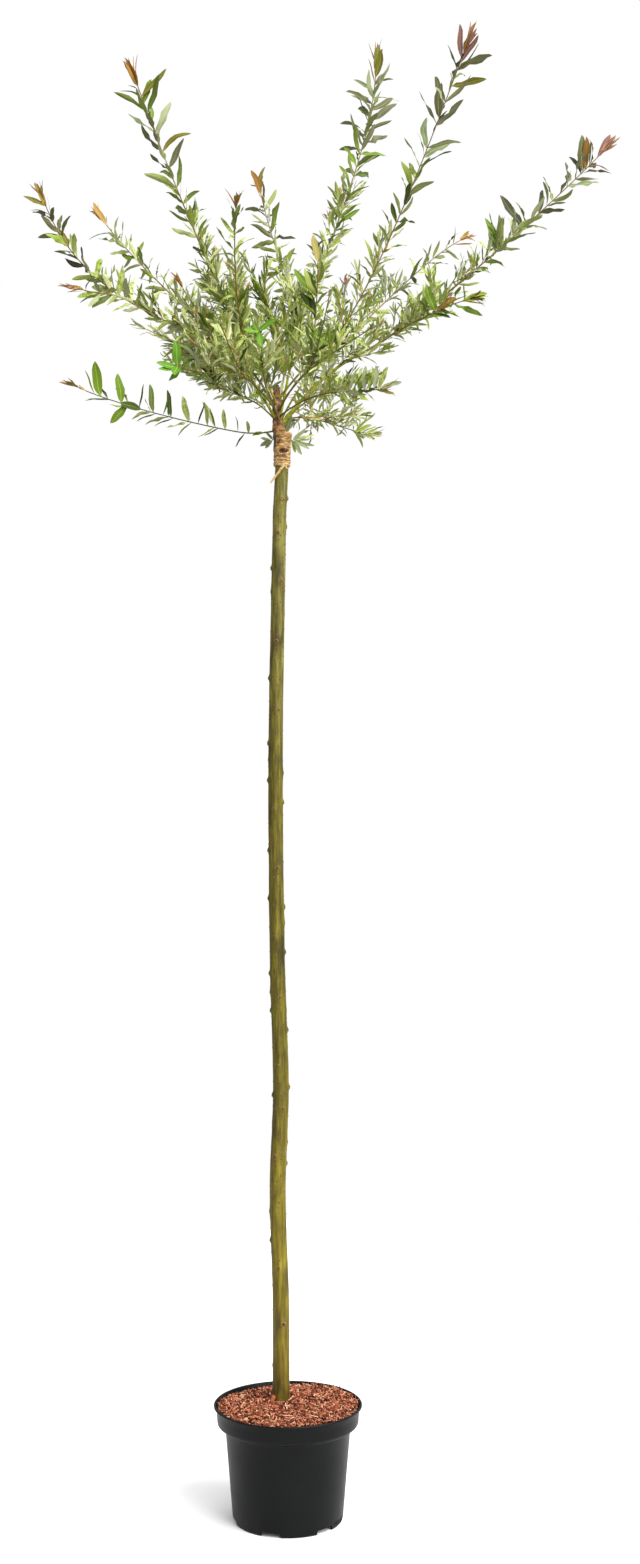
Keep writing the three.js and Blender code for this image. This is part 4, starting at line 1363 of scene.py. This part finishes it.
# Leaves: three patterns, and tints that are dealt out by spray

leafTints = {  # upper side, underside and rib
    "mist": ("#9ea87c", "#b1b791", "#c8caa8"),
    "sage": ("#76873f", "#95a05d", "#b4b97a"),
    "grey": ("#829061", "#a0a77b", "#babf93"),
    "moss": ("#485b17", "#6f7f34", "#8e9b43"),
    "leafGreen": ("#64811c", "#8a9e42", "#aeba52"),
    "deep": ("#2b370f", "#515d2b", "#728135"),
    "drab": ("#5f6036", "#87875c", "#a4a276"),
    "dusk": ("#434427", "#6c6c4c", "#8a8860"),
    "straw": ("#9b8f49", "#b0a464", "#c6ba80"),
    "bright": ("#5e8e20", "#82a63e", "#a6c55a"),
    "fern": ("#6a881c", "#899c3a", "#abba52"),
    "lime": ("#9aab34", "#adb958", "#c8cf80"),
    "olive": ("#6c681c", "#867c36", "#a59a49"),
    "bronze": ("#8c611f", "#a67a38", "#bc944e"),
    "ochre": ("#b8934a", "#c7a767", "#dabf88"),
    "copper": ("#7e584a", "#a07866", "#b8927e"),
    "rose": ("#b77d57", "#c69673", "#d6ae88"),
    "cream": ("#d3cf94", "#dad7a8", "#e6e3c1"),
}
dappleTints = {  # cream, green between and dark green of the speckles, the paler underside and the rib
    "dappledPale": ("#e2e3b2", "#bfc97b", "#73872d", "#cdd19c", "#e2e2b2"),
    "dappledSage": ("#d3d796", "#a3b152", "#617624", "#b6be7c", "#d0d498"),
    "dappledGreen": ("#c0c979", "#8a9d38", "#526b1f", "#a3ae62", "#bfc67c"),
}
leafKinds = {"Dappled": ("leaf_dappled", dappleTints), "Fresh": ("leaf_bright", ("bright",))}


def leafMaterial(name, colour, gloss):
    return grainy(name, colour, 1100, (0.5, 0.75), 0.25, 0.0003, gloss, detail=2)


def dappledMaterial(name, cream, green, dark):
    material, tree, shader = newMaterial(name, 0.22)
    patches = grain(tree, stretched(tree), 190, 2, 0.5)
    speckles = grain(tree, stretched(tree), 820, 3, 0.65)
    both = node(tree, "Math", {0: patches, 1: speckles}, operation="ADD").outputs[0]
    half = node(tree, "Math", {0: both}, operation="MULTIPLY")
    half.inputs[1].default_value = 0.5
    tree.links.new(ramp(tree, half.outputs[0], [(0.40, dark), (0.47, green), (0.53, green), (0.60, cream)]),
                   shader.inputs["Base Color"])
    finish(tree, shader, speckles, (0.45, 0.7), speckles, 0.25, 0.0003)
    return material


leafShapes = {  # place along the leaf, and its width there as a share of the widest
    "long": [(0, 0.10), (0.05, 0.24), (0.16, 0.68), (0.30, 0.93), (0.46, 1.0), (0.62, 0.96), (0.78, 0.80),
             (0.91, 0.48), (1.0, 0.0)],
    "broad": [(0, 0.08), (0.05, 0.22), (0.15, 0.64), (0.29, 0.92), (0.46, 1.0), (0.63, 0.96), (0.79, 0.78),
              (0.92, 0.42), (1.0, 0.0)],
    "small": [(0, 0.14), (0.14, 0.62), (0.32, 0.96), (0.52, 1.0), (0.72, 0.86), (0.89, 0.52), (1.0, 0.0)],
}


def leafPattern(name):
    # a plane cut across and on both sides of its rib, set to its outline, doubled and joined at the edge
    stations = leafShapes[name]
    pick()
    bpy.ops.mesh.primitive_plane_add(size=1, location=(0, 0.5, 0))
    leaf = settle(added(name + "Leaf"))
    edit(leaf)
    cutAlong(leaf, 1, len(stations) - 2)
    cutAlong(leaf, 0, 2)
    shape = bmesh.from_edit_mesh(leaf.data)
    for vertex in shape.verts:
        place, width = stations[round(vertex.co.y * (len(stations) - 1))]
        onRib = abs(vertex.co.x) < 0.3
        reach = min(0.034 * (1 - 0.6 * place), width) if onRib else 0.5 * width
        rise = 0.012 if onRib and 0.02 < place < 0.98 else 0.0
        vertex.co = (math.copysign(reach, vertex.co.x), place, rise)
    bmesh.update_edit_mesh(leaf.data)
    bpy.ops.mesh.select_all(action="SELECT")
    bpy.ops.mesh.duplicate()
    bpy.ops.mesh.flip_normals()
    bpy.ops.transform.resize(value=(1, 1, -1), center_override=(0, 0, 0))
    bpy.ops.mesh.select_all(action="SELECT")
    bpy.ops.mesh.remove_doubles(threshold=0.0005)
    bpy.ops.mesh.dissolve_degenerate(threshold=0.0004)
    facesOut(leaf)
    for face in leaf.data.polygons:
        onRib = max(abs(leaf.data.vertices[i].co.x) for i in face.vertices) < 0.036
        face.material_index = 2 if onRib else 0 if face.normal.z > 0 else 1
    return patternOf(settle(leaf, 60))


leafPatterns = {name: leafPattern(name) for name in leafShapes}
beds = {}  # leaves by part of the crown and kind
twigs = {}  # lines and radii by part of the crown


def addLeaf(part, kind, tint, spot, heading, upper, size, width, *bends):
    # bends are its bend, its bend to the side, its twist, its fold on the rib and the waves of its edge
    group = next((name for name, (_, tints) in leafKinds.items() if tint in tints), "Green")
    bed = beds.setdefault(("Crown" if group == "Fresh" else part, group), {}).setdefault(kind, [])
    bed.append((spot, heading, upper, size, width, *bends, dice.random(), tint))


def waves(y, phase):
    return np.sin(2 * np.pi * (y + phase))


def bentLeaves(kind, rows):
    # lays the pattern out for every leaf, folded on its rib, waved at its edges, twisted and bent
    x, y, z = leafPatterns[kind]["spots"].T[:, None]
    base, heading, upper, *looks = (np.array(column, float) for column in list(zip(*rows))[:-1])
    size, width, bend, side, twist, fold, wave, phase = (look[:, None] for look in looks)
    edge = np.abs(x) * 2 * (1 - y ** 3)  # calm at the tip
    across = x * width * (1 + 0.32 * wave * edge * waves(2.3 * y, phase * 5 + 0.4 * (x > 0)))
    height = z * width + np.abs(across) * np.tan(fold)
    height = height + wave * width * edge * waves(2.1 * y, phase + 0.35 * (x > 0))
    turn = twist * y + 0.35 * wave * waves(1.1 * y, phase * 3)
    turned = across * np.cos(turn) - height * np.sin(turn)
    height = across * np.sin(turn) + height * np.cos(turn)
    lean = np.where(np.abs(bend) < 0.02, 0.02, bend)
    right = turned + size * side * y ** 2 / 2 + 0.03 * size * y * waves(1.2 * y, phase * 7)
    ahead = size * np.sin(lean * y) / lean + np.sin(lean * y) * height
    above = -size * (1 - np.cos(lean * y)) / lean + np.cos(lean * y) * height
    upper = upper - heading * (upper * heading).sum(1)[:, None]
    upper /= np.linalg.norm(upper, axis=1)[:, None]
    ways = zip((right, ahead, above), (np.cross(heading, upper), heading, upper))
    return base[:, None] + sum(steps[..., None] * way[:, None] for steps, way in ways)


def headingAt(line, share, step=0.02):
    return unit(between(line, share + step) - between(line, share - step))


def leafAt(part, kind, tint, line, share, turn, spread, size, wide, roll=0.7, bend=None, fold=None,
           rise=0.12):
    # a leaf on a shoot: turn is round the shoot, spread is from the shoot's own heading
    ahead = headingAt(line, share)
    start = up if abs(ahead[2]) < 0.9 else np.array((0.0, 1.0, 0.0))
    sideWay = unit(np.cross(ahead, start))
    out = sideWay * math.cos(turn) + np.cross(ahead, sideWay) * math.sin(turn)
    heading = unit(ahead * math.cos(spread) + out * math.sin(spread) + up * rise)
    upper = unit(ahead + up * 0.45 - out * 0.15)
    upper = unit(upper - heading * (upper @ heading))
    rolled = dice.choice((-1, 1)) * dice.uniform(0.25, 0.95) * roll * 2
    upper = upper * math.cos(rolled) + np.cross(heading, upper) * math.sin(rolled)
    addLeaf(part, kind, tint, between(line, share), heading, upper, size,
            size * wide * dice.uniform(0.65, 1.2), dice.gauss(0.22, 0.50) if bend is None else bend,
            dice.gauss(0, 0.38), dice.gauss(0, 0.8), abs(dice.gauss(0.24, 0.20)) if fold is None else fold,
            abs(dice.gauss(0.22, 0.16)))


def showLeaf(part, line, share, heading, size, wide, tint):
    # a leaf that shows its face to the front
    heading = unit(np.array(heading))
    upper = np.array((dice.gauss(0, 0.25), -1.0, 0.35))
    upper = unit(upper - heading * (upper @ heading))
    addLeaf(part, "broad", tint, between(line, share), heading, upper, size, size * wide,
            dice.gauss(0.15, 0.2), dice.gauss(0, 0.18), dice.gauss(0, 0.25), 0.22,
            abs(dice.gauss(0.10, 0.10)))


sprayTints = {  # the tints that a spray may take, each with its share
    "top": [("sage", 3), ("drab", 6), ("moss", 1), ("leafGreen", 1), ("grey", 5), ("dusk", 4), ("mist", 2)],
    "dark": [("dusk", 6), ("drab", 7), ("moss", 1), ("leafGreen", 1), ("sage", 2), ("grey", 3),
             ("olive", 1)],
    "middle": [("grey", 2), ("sage", 5), ("dappledSage", 3), ("leafGreen", 3), ("dappledGreen", 3),
               ("moss", 3), ("deep", 1), ("lime", 1)],
    "low": [("dappledPale", 4), ("dappledSage", 6), ("dappledGreen", 6), ("grey", 2), ("sage", 1),
            ("moss", 2), ("mist", 2), ("lime", 1)],
    "heart": [("dappledPale", 5), ("dappledSage", 7), ("dappledGreen", 6), ("sage", 1), ("moss", 2),
              ("mist", 1), ("leafGreen", 3), ("deep", 1), ("lime", 2)],
    "green": [("leafGreen", 4), ("moss", 3), ("fern", 3), ("lime", 2), ("olive", 1), ("dappledGreen", 2)],
    "fern": [("fern", 6), ("leafGreen", 3), ("moss", 1)],
}


def draw(tone):
    tints, shares = zip(*sprayTints[tone])
    return dice.choices(tints, shares)[0]


def awayFrom(line, share, turn, lean):
    # a heading that leaves a line by the angle lean, at a turn round it
    ahead = headingAt(line, share)
    sideWay = unit(np.cross(ahead, up))
    out = sideWay * math.cos(turn) + np.cross(ahead, sideWay) * math.sin(turn)
    return ahead * math.cos(lean) + out * math.sin(lean)


def anyWay():
    return np.array([dice.gauss(0, 1) for _ in range(3)])


def growShoot(start, heading, length, lift, wobble, steps):
    points = [start]
    heading = unit(heading)
    for _ in range(steps):
        heading = unit(heading + up * lift / steps + anyWay() * wobble / math.sqrt(steps))
        points.append(points[-1] + heading * length / steps)
    return np.array(points)


def tuft(part, line, tints, size):
    # young leaves folded close together at a tip, with a pair of narrow ones that stand off below them
    for i in range(6):
        leafAt(part, "long", tints[0] if dice.random() < 0.7 else tints[1], line, 1.0, i * goldenTurn,
               dice.uniform(0.03, 0.17), size * dice.uniform(0.55, 0.92), 0.13, 0.4, dice.gauss(0.0, 0.12),
               dice.uniform(0.8, 1.2), 0.0)
    for i in range(4):  # the youngest, thin and dark
        leafAt(part, "small", dice.choice(("copper", "bronze", tints[1])), line, 1.0, i * goldenTurn + 1,
               dice.uniform(0.02, 0.22), size * dice.uniform(0.8, 1.0), 0.06, 0.5, dice.gauss(0.15, 0.2),
               0.7, 0.0)
    turn = dice.uniform(*anyTurn)
    for facing in (0, math.pi):
        leafAt(part, "long", dice.choice(("deep", "olive", tints[1])), line, 0.95, turn + facing, 0.75,
               size * dice.uniform(0.7, 0.95), 0.08, 0.9)


def heartOf(spot):
    # the part of the close inner crown that a place belongs to
    if spot[1] > 0.095:
        return "HeartBack"
    if spot[0] < -0.030:
        return "HeartLeft"
    return "HeartRight" if spot[0] > 0.026 else "HeartMiddle"


shootPlan = {
    "thick": 0.00080,
    "tip": 0.00035,
    "woods": ("tan", "rust", "tan", "green"),
    "gap": 0.0060,  # between pairs of leaves
    "kept": 0.88,
    "same": 0.72,
    "spread": (0.72, 0.36),
    "wide": 0.158,
    "tufts": [("ochre", "cream"), ("rose", "ochre"), ("lime", "cream"), ("bronze", "olive")],
    "tufted": 0.10,  # the share that ends in a tuft
    "branching": 0.045,  # shoots longer than this carry shorter ones, of this length at most
    "branch": 0.044,
}


def sideShoot(part, start, heading, length, tone, big, lift=0.8, stray=0.30):
    # a side shoot: small leaves in pairs, and shorter shoots of its own while it is long
    plan = shootPlan
    line = growShoot(start, heading, length, lift, stray, max(4, int(length / 0.010)))
    thick = plan["thick"] * min(1.0, 0.55 + length * 6)
    twigs.setdefault(part, []).append((line, thick, plan["tip"], dice.choice(plan["woods"])))
    tint = draw(tone)
    pairs = max(2, int(length / plan["gap"]))
    turn = dice.uniform(*anyTurn)
    for i in range(pairs):
        share = (i + 0.8) / pairs
        turn += math.pi / 2 + dice.gauss(0, 0.3)
        size = big * (0.70 + 0.5 * math.sin(math.pi * min(1.0, share * 0.9 + 0.1))) * dice.uniform(0.75, 1.2)
        for facing in (0, math.pi):
            if dice.random() < plan["kept"]:
                here = tint if dice.random() < plan["same"] else draw(tone)
                leafAt(part, "small", here, line, share + dice.uniform(-0.02, 0.02), turn + facing,
                       mix(*plan["spread"], share) * dice.uniform(0.6, 1.3), size, plan["wide"], 0.8)
    if dice.random() < plan["tufted"]:
        tuft(part, line, dice.choice(plan["tufts"]), big * 0.8)
    if length > plan["branching"]:
        for _ in range(max(dice.choice((0, 2)), int(length / 0.016) - 2)):
            share = dice.uniform(0.15, 0.8)
            away = unit(anyWay() + up * 0.5)
            sideShoot(part, between(line, share), unit(headingAt(line, share, 0.05) + away * 0.9),
                      min(plan["branch"], length * dice.uniform(0.3, 0.5)), tone, big * 0.95, max(lift, 0.6))


def dressWand(name):
    plan = {**wandLook, **wands[name]}
    line = trimmed(wandLine(name), plan)
    length = longOf(line)
    part = plan["part"]
    turn = dice.uniform(*anyTurn)
    spot = plan["firstLeaf"]
    while spot < length - plan["lastLeaf"]:
        share = spot / length
        tone = plan["tones"][sum(share > border for border in plan["borders"])]
        tint = draw(tone)
        if "upright" in plan:
            turn = math.pi / 2 + dice.gauss(0, 0.35)
        else:
            turn = turn + math.pi / 2 + dice.gauss(0, 0.28)
        grown = mix(*plan["size"], (share - 0.15) / 0.55)
        wide = mix(*plan["wide"], (share - 0.30) / 0.40)
        for facing in (0, math.pi + dice.gauss(0, 0.2)):
            if dice.random() < plan["kept"]:
                here = tint if dice.random() < plan["same"] else draw(tone)
                leafAt(part, "broad" if wide > 0.24 else "long", here, line,
                       share + dice.uniform(-0.002, 0.002) / length, turn + facing,
                       mix(*plan["spread"], share) * dice.uniform(0.75, 1.2),
                       grown * dice.uniform(0.75, 1.12), wide, rise=plan["rise"])
        spot += mix(*plan["gap"], share) * dice.uniform(0.85, 1.15)
    if "bare" not in plan:
        tuft(part, line, plan["tuft"], plan["size"][1] * 0.95)
    for row in marked.get(name, ()):
        showLeaf(part, line, *row)
    reach = plan["sideways"] * length
    spot = plan["firstShoot"]
    turn = dice.uniform(*anyTurn)
    while spot < reach:  # side shoots, long at the foot of the wand and short further up
        share = spot / length
        turn += goldenTurn + dice.gauss(0, 0.3)
        long = mix(plan["long"], plan["shortest"], spot / reach) * dice.uniform(0.6, 1.2)
        start = between(line, share)
        sidePart, tone = (heartOf(start), "heart") if share < plan["heart"] else (part, plan["tones"][0])
        heading = awayFrom(line, share, turn, dice.uniform(*plan["leaving"])) + up * plan["steep"]
        sideShoot(sidePart, start, heading, long, tone, mix(*plan["shootLeaf"], spot / reach))
        spot += dice.uniform(*plan["shootGap"])


boughShoots = {
    "first": 0.62,  # share of the bough below its first side shoot
    "gap": (0.011, 0.016),
    "long": (0.028, 0.054),
    "leaving": 0.75,
    "leaf": 0.0195,
    "steep": {"front_left": 1.3, "back_low_left": 1.3, "front": 1.2},  # no leaves hang below these
    "steepElse": 0.35,
    "bare": "low_left",  # it has no side shoots, and its leaves are set one by one in boughLeaves
}


def dressBough(name):
    line = boughLine(name)
    length = longOf(line)
    plan = boughShoots
    steep = plan["steep"].get(name, plan["steepElse"])
    spot = plan["first"] * length
    turn = dice.uniform(*anyTurn)
    while spot < length:
        share = spot / length
        turn += goldenTurn
        start = between(line, share)
        heading = awayFrom(line, share, turn, plan["leaving"]) + up * steep
        sideShoot(heartOf(start), start, heading, dice.uniform(*plan["long"]), "heart", plan["leaf"])
        spot += dice.uniform(*plan["gap"])


innerShoots = [  # bough, share along it and tip: shoots that fill the heart of the crown
    ("centre", 0.80, (-0.049, 0.030, 1.612)), ("back", 0.60, (-0.036, 0.090, 1.594)),
    ("upper_left", 0.90, (-0.070, -0.030, 1.545)), ("upper_left", 1.00, (-0.104, 0.010, 1.600)),
    ("left", 0.75, (-0.151, -0.020, 1.490)), ("back_low_left", 0.70, (-0.142, 0.020, 1.478)),
    ("back_low_left", 1.00, (-0.160, 0.060, 1.498)), ("front_left", 1.00, (-0.125, -0.090, 1.486)),
    ("left", 0.95, (-0.188, 0.000, 1.524)), ("front_left", 0.85, (-0.105, -0.110, 1.480)),
    ("right", 0.90, (0.128, 0.000, 1.500)), ("back_low_right", 0.90, (0.105, 0.070, 1.475)),
    ("right", 0.35, (0.030, 0.040, 1.455)), ("centre", 0.30, (-0.012, 0.045, 1.455)),
    ("low_right", 0.70, (0.095, 0.080, 1.438)), ("back_low_right", 0.65, (0.062, 0.110, 1.428)),
    ("back_low_left", 0.50, (-0.034, 0.090, 1.456)), ("back_low_right", 0.50, (0.014, 0.100, 1.446)),
    ("back_low_right", 0.40, (0.042, 0.105, 1.418)),
]


def dressInner(bough, share, tip):
    start = between(boughLine(bough), share)
    reach = tip - start
    length = float(np.linalg.norm(reach))
    sideShoot(heartOf(tip), start, reach - up * 0.01, length, "heart", 0.021, 0.10, 0.13)


boughLeaves = [  # part of the crown, bough, share along it, heading, length, width share and tint
    ("Left", "low_left", 0.74, (-0.05, -0.2, 1.0), 0.016, 0.28, "sage"),
    ("Left", "low_left", 0.83, (-0.55, -0.2, -0.80), 0.024, 0.10, "deep"),
    ("Left", "low_left", 0.40, (-1.0, -0.2, -0.12), 0.014, 0.42, "fern"),
    ("HeartLeft", "left", 0.44, (-0.85, -0.3, -0.35), 0.018, 0.34, "fern"),
    ("HeartLeft", "left", 0.47, (0.70, -0.3, -0.65), 0.016, 0.34, "leafGreen"),
]
crossTwigs = [  # bough, share along it, middle and end: bare twigs that cross in front of the stub
    ("left", 0.38, (-0.002, -0.016, 1.4285), (0.032, -0.012, 1.4360)),
    ("left", 0.40, (-0.006, -0.014, 1.4345), (0.014, -0.016, 1.4210)),
]
sprigFans = {
    "low_sprig_right": [
        (0.95, (0.70, -0.1, 0.62), 0.024, 0.19, "mist"),
        (1.0, (0.95, -0.1, 0.40), 0.030, 0.15, "dappledPale"),
        (1.0, (0.98, -0.1, 0.12), 0.029, 0.13, "mist"), (1.0, (0.97, -0.1, -0.22), 0.029, 0.15, "grey"),
        (0.95, (0.85, -0.2, -0.48), 0.025, 0.19, "mist"), (0.92, (0.62, -0.2, -0.80), 0.024, 0.24, "grey"),
        (0.90, (0.40, -0.2, -0.95), 0.018, 0.24, "sage"),
        (0.50, (0.10, -0.3, 1.00), 0.032, 0.34, "dappledPale"),
        (0.40, (0.45, -0.3, 0.85), 0.024, 0.24, "grey")],
    "low_sprig_left": [
        (1.0, (-0.97, -0.1, 0.22), 0.015, 0.42, "mist"), (0.95, (-0.95, -0.1, -0.30), 0.017, 0.42, "grey"),
        (0.90, (-0.70, -0.1, -0.75), 0.014, 0.36, "mist"),
        (0.85, (-0.60, -0.1, 0.70), 0.013, 0.30, "grey")],
}


def dressSprig(name):
    # a short sprig with a close fan of broad leaves
    plan = sprigs[name]
    start, tip = graftAxis(plan["leaves"]), np.array(plan["tip"])
    line = cutShort(bezier((start, (start + tip) / 2 + up * 2 * plan["lift"], tip), 30), plan["bare"])
    twigs.setdefault(plan["part"], []).append((line, 0.0012, 0.0006, "green"))
    for row in sprigFans[name]:
        showLeaf(plan["part"], line, *row)


def makeWands():
    thin = 0.00062
    for name, plan in wands.items():
        line = trimmed(wandLine(name), {**wandLook, **plan})
        length = longOf(wandLine(name))
        thick, tint = 0.0010, "tan"
        if "bough" in plan:
            thick = boughs[plan["bough"]][4] * woodShare.get(plan["bough"], slimShare)
            tint = boughTints.get(plan["bough"], "tan")
        shift = dice.uniform(0, 50)

        def radiusAt(share, turn):
            here = thin + (thick - thin) * (1 - share) ** 1.5
            return here * (1 + 0.14 * ringNoise(turn, 1, share * length * 130 + shift))

        wand = limbAlong("wand_" + name, line, radiusAt, 8, int(length / 0.0032))
        putOn(wand, "bough_bark", [], boughBarks[tint])
    print("wands made:", len(wands))


def dressCrown():
    # every leaf and twig is drawn in this order
    for name in wands:
        dressWand(name)
    for name in boughs:
        if name != boughShoots["bare"]:
            dressBough(name)
    for part, bough, *row in boughLeaves:
        showLeaf(part, boughLine(bough), *row)
    for bough, share, *ends in crossTwigs:
        line = bezier((between(boughLine(bough), share), *ends), 12)
        twigs.setdefault("HeartMiddle", []).append((line, 0.00050, 0.00032, "tan"))
    for row in innerShoots:
        dressInner(*row)
    for name in sprigs:
        dressSprig(name)


makeWands()
dressCrown()


def makeLeaves():
    materials = {}
    for name, (above, below, rib) in leafTints.items():
        materials[name] = (leafMaterial(name + "Leaf", above, 0.24),
                           leafMaterial(name + "Under", below, 0.16), leafMaterial(name + "Rib", rib, 0.16))
    for name, (cream, green, dark, below, rib) in dappleTints.items():
        materials[name] = (dappledMaterial(name + "Leaf", cream, green, dark),
                           dappledMaterial(name + "Under", below, below, green),
                           leafMaterial(name + "Rib", rib, 0.16))
    total = 0
    for (part, group), kinds in sorted(beds.items()):
        tints = sorted({row[-1] for rows in kinds.values() for row in rows})
        batches = [(leafPatterns[kind], bentLeaves(kind, rows), [3 * tints.index(row[-1]) for row in rows])
                   for kind, rows in sorted(kinds.items())]
        leaves = joinedCopies("leaves" + group + part, batches)
        nodes = ["leaves_" + name for name, plan in {**wands, **sprigs}.items() if plan["part"] == part]
        if part.startswith("Heart"):
            nodes.append("leaves_heart_" + part[5:].lower())
        if group == "Fresh":
            nodes = ["leaves_green_left", "leaves_green_front"]
        slot = leafKinds[group][0] if group in leafKinds else "leaf_green"
        putOn(leaves, slot, nodes, *[side for tint in tints for side in materials[tint]])
        count = sum(map(len, kinds.values()))
        total += count
        print("leaves made:", leaves.name, count, "leaves,", len(leaves.data.polygons), "faces")
    print("leaves in all:", total)


twigTints = {"tan": "#b88b50", "rust": "#a8784c", "green": "#73721f"}
tubeRadius = 0.001


def tubesAlong(name, lines, material):
    # a round tube along every line, from its thick end to its thin one
    curve = bpy.data.curves.new("twigLines", "CURVE")
    curve.dimensions = "3D"
    curve.bevel_depth = tubeRadius
    curve.bevel_resolution = 0
    curve.use_fill_caps = True
    for line, thick, thin in lines:
        spline = curve.splines.new("POLY")
        spline.points.add(len(line) - 1)
        spline.points.foreach_set("co", np.column_stack([line, np.ones(len(line))]).ravel())
        spline.points.foreach_set("radius", np.linspace(thick, thin, len(line)) / tubeRadius)
    tubes = bpy.data.objects.new(name, curve)
    bpy.context.scene.collection.objects.link(tubes)
    pick(tubes)
    bpy.ops.object.convert(target="MESH")
    tubes = bpy.context.object
    tubes.data.materials.clear()
    tubes.data.materials.append(material)
    return tubes


def makeTwigs():
    materials = {name: grainy(name + "Twig", colour, 700, (0.45, 0.7), 0.35, 0.0004, 0.35)
                 for name, colour in twigTints.items()}
    for part, rows in sorted(twigs.items()):
        made = []
        for tint, material in materials.items():
            lines = [row[:3] for row in rows if row[3] == tint]
            if lines:
                made.append(tubesAlong("twigs" + part + tint, lines, material))
        piece = joined("twigs" + part, made, 70)
        putOn(piece, "bough_bark", [])
        print("twigs made:", piece.name, len(rows), "twigs,", len(piece.data.polygons), "faces")


makeTwigs()
makeLeaves()


# Floor, light and camera

studio = {
    "camera": (0.0409, -2.488, 0.939),
    "lens": 44.86,
    "floorRadius": 1.7,
    "sky": 0.42,  # how much the white surroundings light the plant
    "lamps": [  # name, direction that it shines from, spread in degrees, strength
        ("keyLamp", (1.0, -0.85, 1.10), 45, 3.4),
        ("frontLamp", (0.30, -1.0, 0.35), 60, 1.3),
        ("topLamp", (0.1, -0.10, 1.0), 80, 1.5),
        ("backLamp", (0.80, 0.90, 0.60), 50, 0.8),
    ],
}


def makeFloor():
    pick()
    bpy.ops.mesh.primitive_circle_add(vertices=96, radius=studio["floorRadius"], fill_type="NGON")
    floor = added("studioFloor")
    material, tree, shader = newMaterial("paleFloor", 0.1)
    shader.inputs["Roughness"].default_value = 0.9
    mottle = grain(tree, stretched(tree), 3, 2)
    tree.links.new(ramp(tree, mottle, [(0.3, "#f8f8f8"), (0.7, "#fafafa")]), shader.inputs["Base Color"])
    floor.data.materials.append(material)
    floor.visible_diffuse = False  # it shows, but throws no light up onto the plant


def hung(name, thing, place, turn):
    holder = bpy.data.objects.new(name, thing)
    holder.location = place
    holder.rotation_euler = turn
    bpy.context.scene.collection.objects.link(holder)
    return holder


def makeStudio():
    scene = bpy.context.scene
    scene.world = bpy.data.worlds.new("studioSky")
    scene.world.use_nodes = True
    tree = scene.world.node_tree
    around = tree.nodes["Background"]  # lights the plant, while the view itself shows plain white
    around.inputs["Color"].default_value = (1, 1, 1, 1)
    around.inputs["Strength"].default_value = studio["sky"]
    plain = node(tree, "Background", Color=(1, 1, 1, 1), Strength=1.0)
    seen = node(tree, "LightPath").outputs["Is Camera Ray"]
    both = node(tree, "MixShader", {"Fac": seen, 1: around.outputs[0], 2: plain.outputs[0]})
    tree.links.new(both.outputs[0], tree.nodes["World Output"].inputs["Surface"])
    for name, place, spread, strength in studio["lamps"]:
        lamp = bpy.data.lights.new(name, "SUN")
        lamp.angle = math.radians(spread)
        lamp.energy = strength
        hung(name, lamp, Vector(place) * 3, Vector(place).to_track_quat("Z", "Y").to_euler())
    camera = bpy.data.cameras.new("photoCamera")
    camera.lens = studio["lens"]
    camera.sensor_width = 36
    scene.camera = hung("photoCamera", camera, studio["camera"], (math.pi / 2, 0, 0))
    scene.view_settings.view_transform = "Standard"


makeFloor()
makeStudio()
print("studio made")
